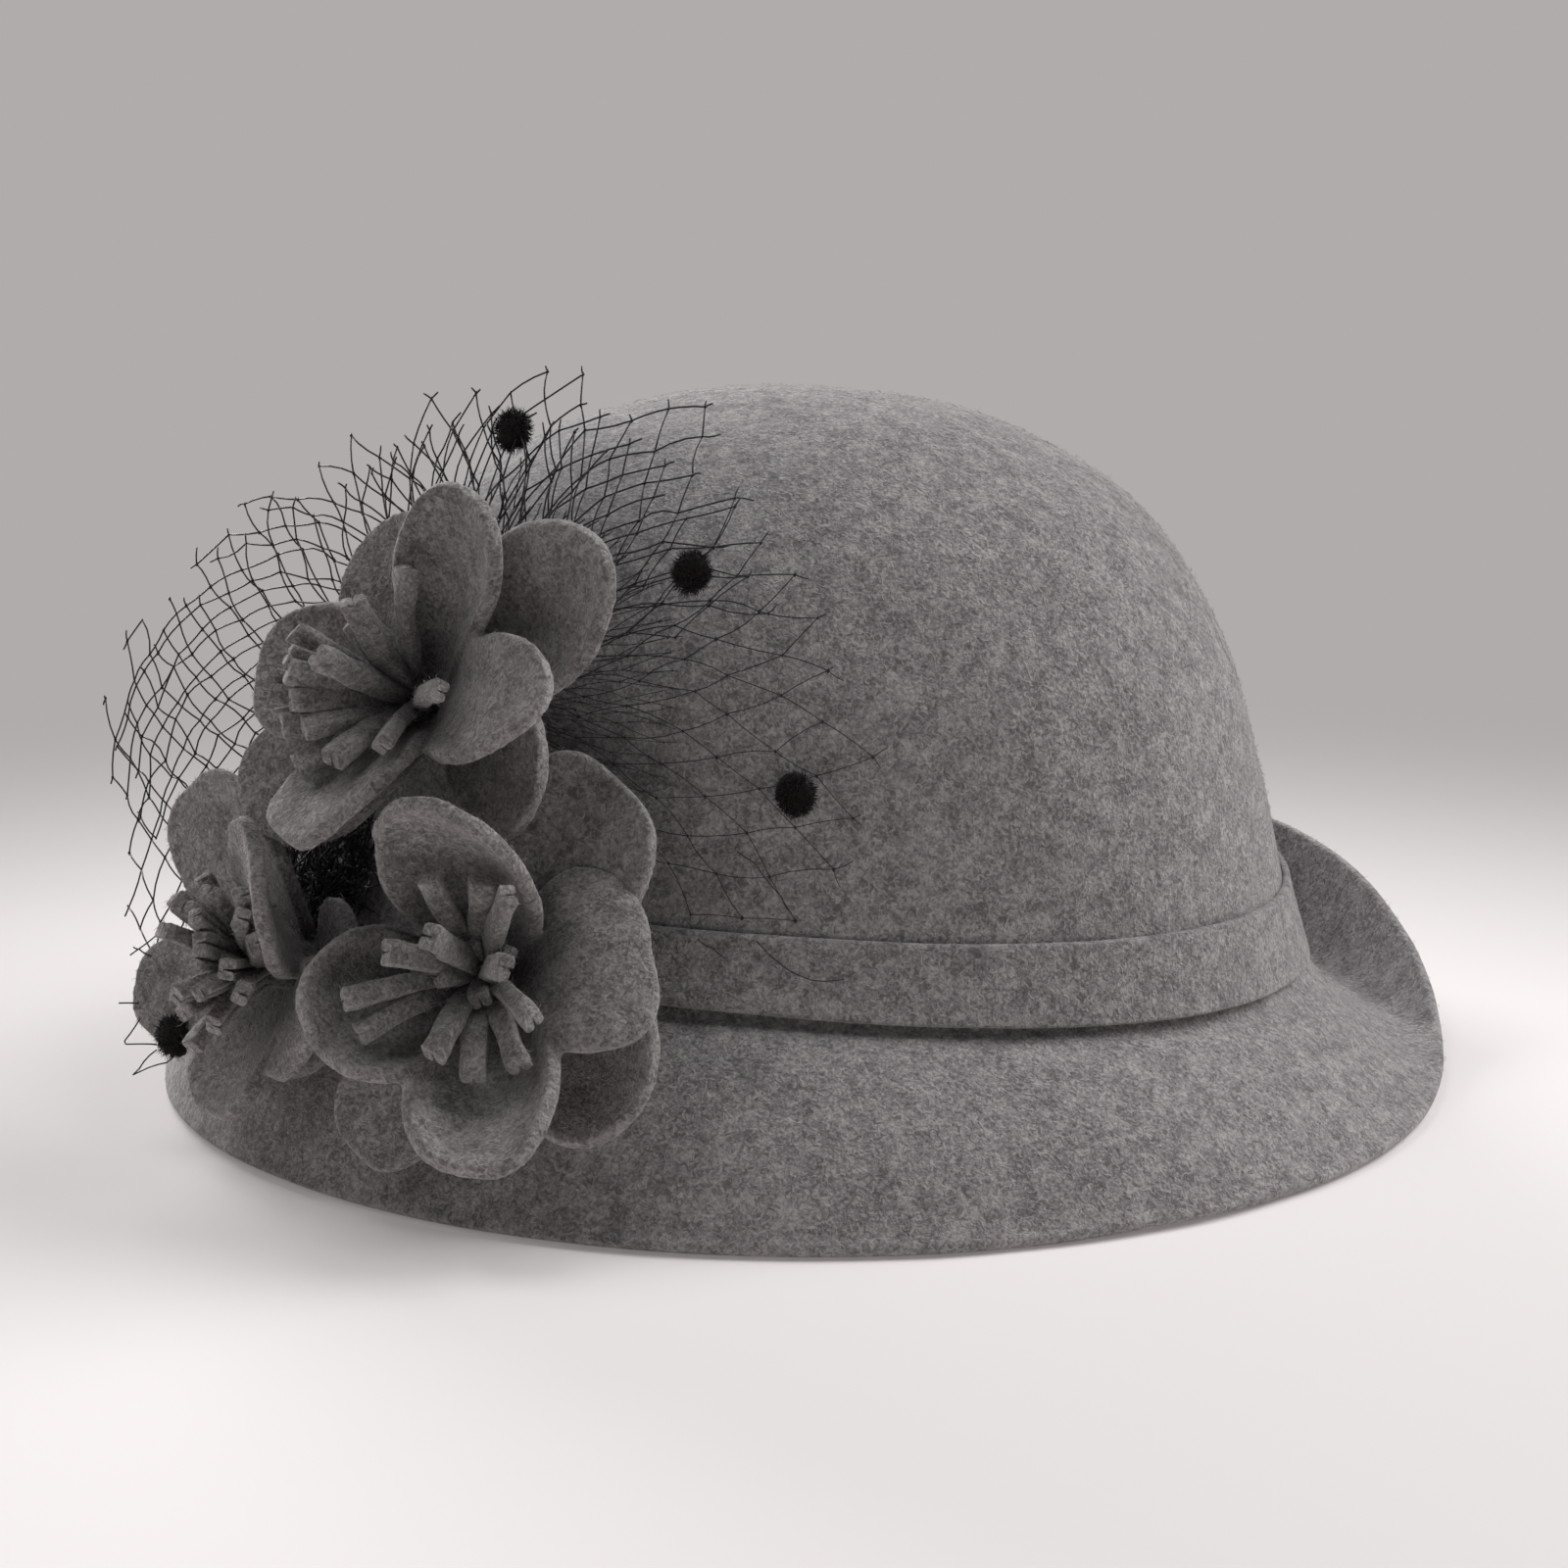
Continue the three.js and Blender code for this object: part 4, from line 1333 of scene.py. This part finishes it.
@dataclass(frozen=True)
class Veil:
    """A fan of black diamond net gathered under the flowers, over the crown."""

    root: Point = (-57, -62, 86.5)
    face: Facing = Facing(30, 14)
    stands_off: float = 3  # height off its face at the root
    inner: float = 8  # radius where the diamonds start
    curve: float = 95  # radius of the crown's curve that it follows
    farthest: float = 112  # radius past which no ring of diamonds starts
    side: float = 7.0  # side of a diamond
    widest: float = 0.86  # half a diamond's width at most, as a share of its side
    # degrees round the root, share of the yarn's thickness: it lies in the crown's nap on its right side
    sunk: Rows = ((-40, 0.5), (5, 0.55), (40, 0.85), (70, 1.0), (240, 1.0))
    # degrees round the root, radius, how closely it follows the crown
    reach: Rows = (
        (-38, 68, 0.66), (-13, 73, 0.86), (17, 67, 0.85), (45, 63, 0.76), (70, 62, 0.6), (95, 58, 0.47),
        (120, 57, 0.4), (146, 62, 0.36), (166, 77, 0.33), (185, 93, 0.33), (205, 92, 0.3), (236, 78, -0.4),
    )
    layers: tuple[NetLayer, ...] = (
        NetLayer(-36, 236, 33, 1.0, 0.0, 301),
        NetLayer(20, 206, 23, 0.93, 1.1, 302),
        NetLayer(64, 128, 8, 0.88, 1.9, 303),
        # the last, short layer of finer yarn is denser net near the flowers, and it also darkens the crown
        # there, standing in for the shade that the flowers cast
        NetLayer(-36, 112, 34, 0.66, 2.4, 304, 0.24),
    )
    # the gathered edge is net bunched between the flowers, and also a dark bunch put there to stand in for
    # the deep shade in that gap
    # where its gathered edge is sewn down between the flowers, the way out there, and the bunch's radius
    seam: Point = (-86, -50.5, 50)
    seam_out: Point = (-0.76, -0.56, 0.33)
    bunch: float = 17
    bunch_yarns: int = 800
    # cut ends of the net that show past the front flower, and on the band
    ends: tuple[tuple[Point, ...], ...] = (
        ((-115.6, -57.0, 41.3), (-119.9, -57.8, 37.8), (-121.6, -58.1, 36.6)),
        ((-121.0, -57.8, 38.1), (-119.9, -57.9, 37.7), (-117.6, -58.2, 36.4)),
        ((-123.7, -60.0, 28.0), (-119.9, -60.0, 28.0)),
        ((-119.7, -60.7, 25.3), (-122.6, -61.6, 21.2), (-122.4, -61.7, 20.6), (-116.7, -61.7, 20.6)),
        ((-116.7, -62.0, 19.6), (-119.9, -62.7, 16.2), (-121.0, -63.0, 15.1)),
        ((-112.0, -61.9, 19.9), (-114.8, -62.5, 17.3), (-119.7, -62.8, 15.7), (-121.1, -63.0, 15.1)),
    )
    sunk_ends: tuple[tuple[Point, ...], ...] = (
        ((-9.3, -81.7, 62.1), (-6.2, -82.2, 60.2), (-1.3, -83.4, 54.1), (0.4, -84.0, 51.4)),
        ((-16.2, -86.1, 47.3), (-13.4, -86.8, 45.7), (-11.3, -87.3, 44.1)),
        ((-5.8, -86.5, 47.1), (-3.7, -87.1, 44.8), (0.4, -88.2, 41.8), (3.9, -88.6, 40.5),
         (9.7, -88.2, 40.6)),
    )
    open_side: float = 0.2  # how much wider its cells are on its right side

    def point(self, at: Array, radius: Array, above: Array | float) -> Array:
        """Finds points of the veil.

        Args:
            at: Degrees round its root.
            radius: Distance from its root.
            above: Height off its face.

        Returns:
            The points.
        """
        right, up, out = self.face.basis()
        hug = table_at(self.reach, at, closed=False)[..., 1]
        off = self.stands_off + above - hug * radius**2 / (2 * self.curve)
        angle = np.radians(at)
        return (
            np.array(self.root) + (radius * np.cos(angle))[..., None] * right
            + (radius * np.sin(angle))[..., None] * up + off[..., None] * out
        )

    def limit(self, at: Array) -> Array:
        """The veil's radius by direction."""
        return table_at(self.reach, at, closed=False)[..., 0]

    def lay(self, layer: NetLayer, cloud: Cloud) -> None:
        """Adds one layer's yarns and knots.

        Args:
            layer: The layer.
            cloud: Where they are added.
        """
        rng = np.random.default_rng(layer.seed)
        columns = 2 * layer.columns
        step = (layer.last - layer.first) / columns
        at = layer.first + step * np.arange(columns + 1)
        wide = math.radians(step)
        rings = [self.inner]
        while rings[-1] < self.farthest:
            half_wide = min(rings[-1] * wide, self.side * self.widest)
            rings.append(rings[-1] + math.sqrt(self.side**2 - half_wide**2))
        radius = np.array(rings)
        rows = len(radius)
        # single knots out of place: degrees round, distance out and height off; then whole areas that sway
        wobble = rng.normal(0, 1, (rows, columns + 1, 3)) * [0.16 * step, 0.55, 0.35]
        spread = np.stack(np.broadcast_arrays(at[None, :] * 0.6, radius[:, None], np.zeros((1, 1))), -1)
        sway = waves(spread, 26, layer.seed)
        at_all = at[None, :] + wobble[..., 0] + sway * step * 0.5
        wider = 1 + self.open_side * np.clip((60 - at) / 40, 0, 1)  # from 60 degrees down to 20
        radius_all = self.inner + (radius[:, None] - self.inner) * wider + wobble[..., 1] + sway * 1.6
        above = layer.above + np.abs(wobble[..., 2]) + 0.5
        nodes = self.point(at_all, radius_all, above)
        ragged = rng.normal(1, 0.035, radius_all.shape)
        inside = radius_all <= self.limit(at_all) * layer.reach * ragged
        starts, ends, knots, wide_at = [], [], [], []
        # of the yarns cut at the edge: how many are gone, and what is left of the others
        gone, left = 0.25, (0.12, 0.38)
        for r in range(rows - 1):
            for c in range(columns + 1):
                if (r + c) % 2 or not inside[r, c]:
                    continue
                knots.append(nodes[r, c])
                for d in (-1, 1):
                    if not 0 <= c + d <= columns:
                        continue
                    far = nodes[r + 1, c + d]
                    if not inside[r + 1, c + d]:
                        if rng.uniform() >= 1 - gone:
                            continue
                        far = nodes[r, c] + (far - nodes[r, c]) * rng.uniform(*left)
                    starts.append(nodes[r, c])
                    ends.append(far)
                    wide_at.append(at_all[r, c])
        sunk = table_at(self.sunk, np.array(wide_at), closed=False)[:, 0]
        self.yarns(np.array(starts), np.array(ends), layer.yarn * sunk, rng, cloud)
        self.knots(np.array(knots), layer.yarn / YARN, rng, cloud)

    def yarns(self, starts: Array, ends: Array, thick: Array, rng: np.random.Generator, cloud: Cloud) -> None:
        """Adds a round yarn between each pair of points, a little bowed.

        Args:
            starts: Where they start.
            ends: Where they end.
            thick: Their thicknesses.
            rng: Source of their bows.
            cloud: Where they are added.
        """
        n, sides, parts = len(starts), 5, 4  # yarns, sides of each and rings along it
        t = np.linspace(0, 1, parts)
        along = unit(ends - starts)
        across = unit(np.cross(along, self.face.basis()[2]))
        over = np.cross(across, along)
        bow = rng.normal(0, 0.28, (n, 2)) * (np.linalg.norm(ends - starts, axis=1) / self.side)[:, None]
        path = starts[:, None] + (ends - starts)[:, None] * t[None, :, None]
        arch = (4 * t * (1 - t))[None, :, None]
        path = path + arch * (across * bow[:, :1] + over * np.abs(bow[:, 1:]) * 0.6)[:, None]
        turn = circle(sides)[None, None]
        ring = across[:, None, None] * turn[..., :1] + over[:, None, None] * turn[..., 1:2]
        tubes = path[:, :, None] + ring * thick[:, None, None, None] / 2
        shape = Cloud()
        shape.grid(np.zeros((parts, sides, 3)), wraps=True, ends=True)
        cloud.copies(np.concatenate([tubes.reshape(n, -1, 3), path[:, :1], path[:, -1:]], 1), shape.faces[0])

    def knots(self, places: Array, share: float, rng: np.random.Generator, cloud: Cloud) -> None:
        """Adds a small knot at each crossing.

        Args:
            places: The crossings.
            share: Their size, 1 for the common yarn.
            rng: Source of their differences.
            cloud: Where they are added.
        """
        right, up, out = self.face.basis() * np.array([[0.36], [0.46], [0.3]])  # half its sizes
        shape = np.array([right, up, out, -right, -up, -out])
        round_it = np.array([(0, 1), (1, 3), (3, 4), (4, 0)])
        faces = np.array([(a, b, 2) for a, b in round_it] + [(b, a, 5) for a, b in round_it])
        size = share * rng.uniform(0.8, 1.25, (len(places), 1, 1))
        cloud.copies(places[:, None] + shape[None] * size, faces)

    def gathered_net_and_shade(self, cloud: Cloud) -> None:
        """Adds the net's gathered edge, a flat bunch of yarns on the band between the flowers: real gathered
        net, and also a dark bunch that stands in for the deep shade in that gap.

        Args:
            cloud: Where it is added.
        """
        rng, n = np.random.default_rng(305), self.bunch_yarns
        out = unit(np.array(self.seam_out))
        right = unit(np.cross([0, 0, 1.0], out))
        angle, radius = rng.uniform(0, 2 * math.pi, n), self.bunch * np.sqrt(rng.uniform(0, 1, n))
        flat = np.stack([radius * np.cos(angle), radius * np.sin(angle)], -1)
        off = rng.uniform(1.5, 6.5, n) - radius**2 / 180  # heaped, and lower towards its edge
        places = np.array(self.seam) + flat @ np.array([right, np.cross(out, right)]) + off[:, None] * out
        along = unit(np.cross(rng.normal(0, 1, (n, 3)), out) + rng.normal(0, 0.25, (n, 3)))
        half = along * self.side / 2 * rng.uniform(0.7, 1.2, (n, 1))
        self.yarns(places - half, places + half, np.full(n, YARN), rng, cloud)

    def build(self) -> None:
        """Builds and dresses the net."""
        cloud = Cloud()
        for layer in self.layers:
            self.lay(layer, cloud)
        self.gathered_net_and_shade(cloud)
        rng = np.random.default_rng(306)
        for lines, thick in ((self.ends, 0.3), (self.sunk_ends, 0.2)):
            for line in map(np.array, lines):
                self.yarns(line[:-1], line[1:], np.full(len(line) - 1, thick), rng, cloud)
        dress(cloud.mesh("veil_netting"), Finish.NET, "veil_net")


@dataclass(frozen=True)
class ChenilleDot:
    """A tuft of cut pile clamped round the net's yarn."""

    number: int
    at: float  # degrees round the veil's root
    out: float  # share of the veil's radius there
    aside: Point = (0.0, 0.0, 2.2)  # right, up and out from the net there
    radius: float = 4.6
    thick: float = 3.6
    solid: float = 0.74  # share of its radius that its core takes up
    pile: int = 1500
    reach: tuple[float, float] = (0.6, 2.1)  # how far the pile stands out

    def build(self, veil: Veil) -> None:
        """Builds and dresses the dot.

        Args:
            veil: The veil that it is clamped to.
        """
        rng = np.random.default_rng(500 + self.number)
        at = np.array(self.at)
        limit = veil.limit(at)
        radius = veil.inner + (limit - veil.inner) * self.out
        basis = veil.face.basis()
        centre = veil.point(at, radius, 0.0) + np.array(self.aside) @ basis
        core = self.radius * self.solid
        ball = Cloud()
        rows, columns = 9, 18
        theta = np.linspace(0, math.pi, rows)[1:-1, None]
        ring = circle(columns)[None]
        sphere = np.sin(theta)[..., None] * ring + np.cos(theta)[..., None] * [0, 0, 1]
        flat = np.array([1, 1, self.thick / (2 * self.radius)])
        lump = 1 + 0.2 * waves(sphere * 3, 3, 520 + self.number)
        ball.grid((sphere * core * lump[..., None] * flat) @ basis + centre, wraps=True, ends=True)
        direction = unit(rng.normal(size=(self.pile, 3)))
        foot = direction * core * 0.9 * flat
        lean = unit(direction * flat + rng.normal(0, 0.75, (self.pile, 3)))
        reach = rng.uniform(*self.reach, (self.pile, 1)) * (1.1 - 0.5 * np.abs(direction[:, 2:]))
        fibres(foot @ basis + centre, lean @ basis, reach[:, 0], 0.085, rng, ball)
        dress(ball.mesh(f"chenille_dot_{self.number}"), Finish.PILE, f"veil_dot_{self.number}")


# ---- Table, light and camera ---------------------------------------------------------------------------


@dataclass(frozen=True)
class Softbox:
    """A square soft light aimed at the hat."""

    name: str
    azimuth: float  # degrees from +X towards +Y
    height: float  # degrees over the table
    away: float  # metres
    size: float  # metres
    power: float  # watts
    colour: str = "#ffffff"

    def build(self, aim: Vector) -> None:
        """Builds the light.

        Args:
            aim: What it points at, in metres.
        """
        a, e = math.radians(self.azimuth), math.radians(self.height)
        data = bpy.data.lights.new(self.name, "AREA")
        data.shape = "SQUARE"
        data.size = self.size
        data.energy = self.power
        data.color = linear(self.colour)[:3]
        lamp = bpy.data.objects.new(self.name, data)
        offset = Vector((math.cos(a) * math.cos(e), math.sin(a) * math.cos(e), math.sin(e)))
        lamp.location = aim + offset * self.away
        lamp.visible_camera = False
        lamp.rotation_euler = (-offset).to_track_quat("-Z", "Y").to_euler()
        bpy.context.scene.collection.objects.link(lamp)


@dataclass(frozen=True)
class Studio:
    """A pale table, soft light from the hat's back and above, and the camera."""

    eye: Point = (-0.97, -700.0, 214.0)  # mm, from the crown's axis
    pitch: float = 12.73  # degrees down
    lens: float = 82.8  # mm, over a film 36 mm wide
    lights: tuple[Softbox, ...] = (
        Softbox("window", 15, 40, 1.6, 1.3, 26.5),
        Softbox("far_wall", 120, 15, 1.6, 0.9, 29),
        Softbox("ceiling", 175, 72, 1.6, 0.9, 6),
        Softbox("room", 205, 38, 1.6, 0.9, 2.4),
    )
    air: str = "#a09e9e"  # light from all round, thrown back by the room
    air_strength: float = 0.085
    wall: tuple[float, float] = (10000, 10200)  # radius of its inner and outer face
    wall_foot: float = -100
    wall_top: float = 8000
    table_thick: float = 20

    def backdrop(self) -> None:
        """Builds an even grey wall far round the table, which is seen from low down and lights nothing."""
        (inner, outer), foot, top = self.wall, self.wall_foot, self.wall_top
        section = ((inner, foot), (inner, top), (outer, top), (outer, foot), (inner, foot))
        cloud, ring = Cloud(), circle(128)
        cloud.grid(np.array([ring * radius + [0, 0, height] for radius, height in section]), wraps=True)
        wall = cloud.mesh("backdrop", smooth=False)
        wall.data.materials.append(BackdropPaper().make())
        wall.visible_diffuse = wall.visible_glossy = wall.visible_shadow = False

    def build(self) -> None:
        """Builds the table, lights, world and camera."""
        cloud, ring = Cloud(), circle(128) * sum(self.wall) / 2
        cloud.grid(np.array([ring, ring - [0, 0, self.table_thick]]), wraps=True, ends=True)
        table = cloud.mesh("table", smooth=False)
        table.data.materials.append(PaleTable().make())
        self.backdrop()
        aim = Vector((0, 0, 0.06))
        for light in self.lights:
            light.build(aim)
        world = bpy.data.worlds.new("room")
        world.use_nodes = True
        background = world.node_tree.nodes["Background"]
        background.inputs["Color"].default_value = linear(self.air)
        background.inputs["Strength"].default_value = self.air_strength
        scene = bpy.context.scene
        scene.world = world
        scene.view_settings.view_transform = "Standard"
        data = bpy.data.cameras.new("camera")
        data.lens = self.lens
        data.sensor_width = 36
        data.clip_start, data.clip_end = 0.01, 60  # metres
        camera = bpy.data.objects.new("camera", data)
        camera.location = Vector((np.array(self.eye) + SHIFT) * MM)
        camera.rotation_euler = (math.radians(90 - self.pitch), 0, 0)
        scene.collection.objects.link(camera)
        scene.camera = camera


# ---- The hat -------------------------------------------------------------------------------------------

DOTS = (
    ChenilleDot(1, 91, 0.84, (1.6, -2.2, 2.2)), ChenilleDot(2, 33, 0.7),
    ChenilleDot(3, -10, 0.84), ChenilleDot(4, 233, 0.96, (-1.5, -7.8, 0.5)),
)


def report(step: str, make: Callable[[], object]) -> None:
    """Runs one step and reports it."""
    make()
    log.info("%s done", step)


def main() -> None:
    """Builds the scene in order."""
    logging.basicConfig(level=logging.INFO, format="%(name)s: %(message)s")
    body = HatBody()
    report("body", body.build)
    report("band", HatBand(body).build)
    for flower in (LOWER, UPPER, FRONT):
        report(flower.name, flower.build)
    veil = Veil()
    report("veil", veil.build)
    for dot in DOTS:
        report(f"dot {dot.number}", lambda dot=dot: dot.build(veil))
    report("studio", Studio().build)


if __name__ == "__main__":
    main()
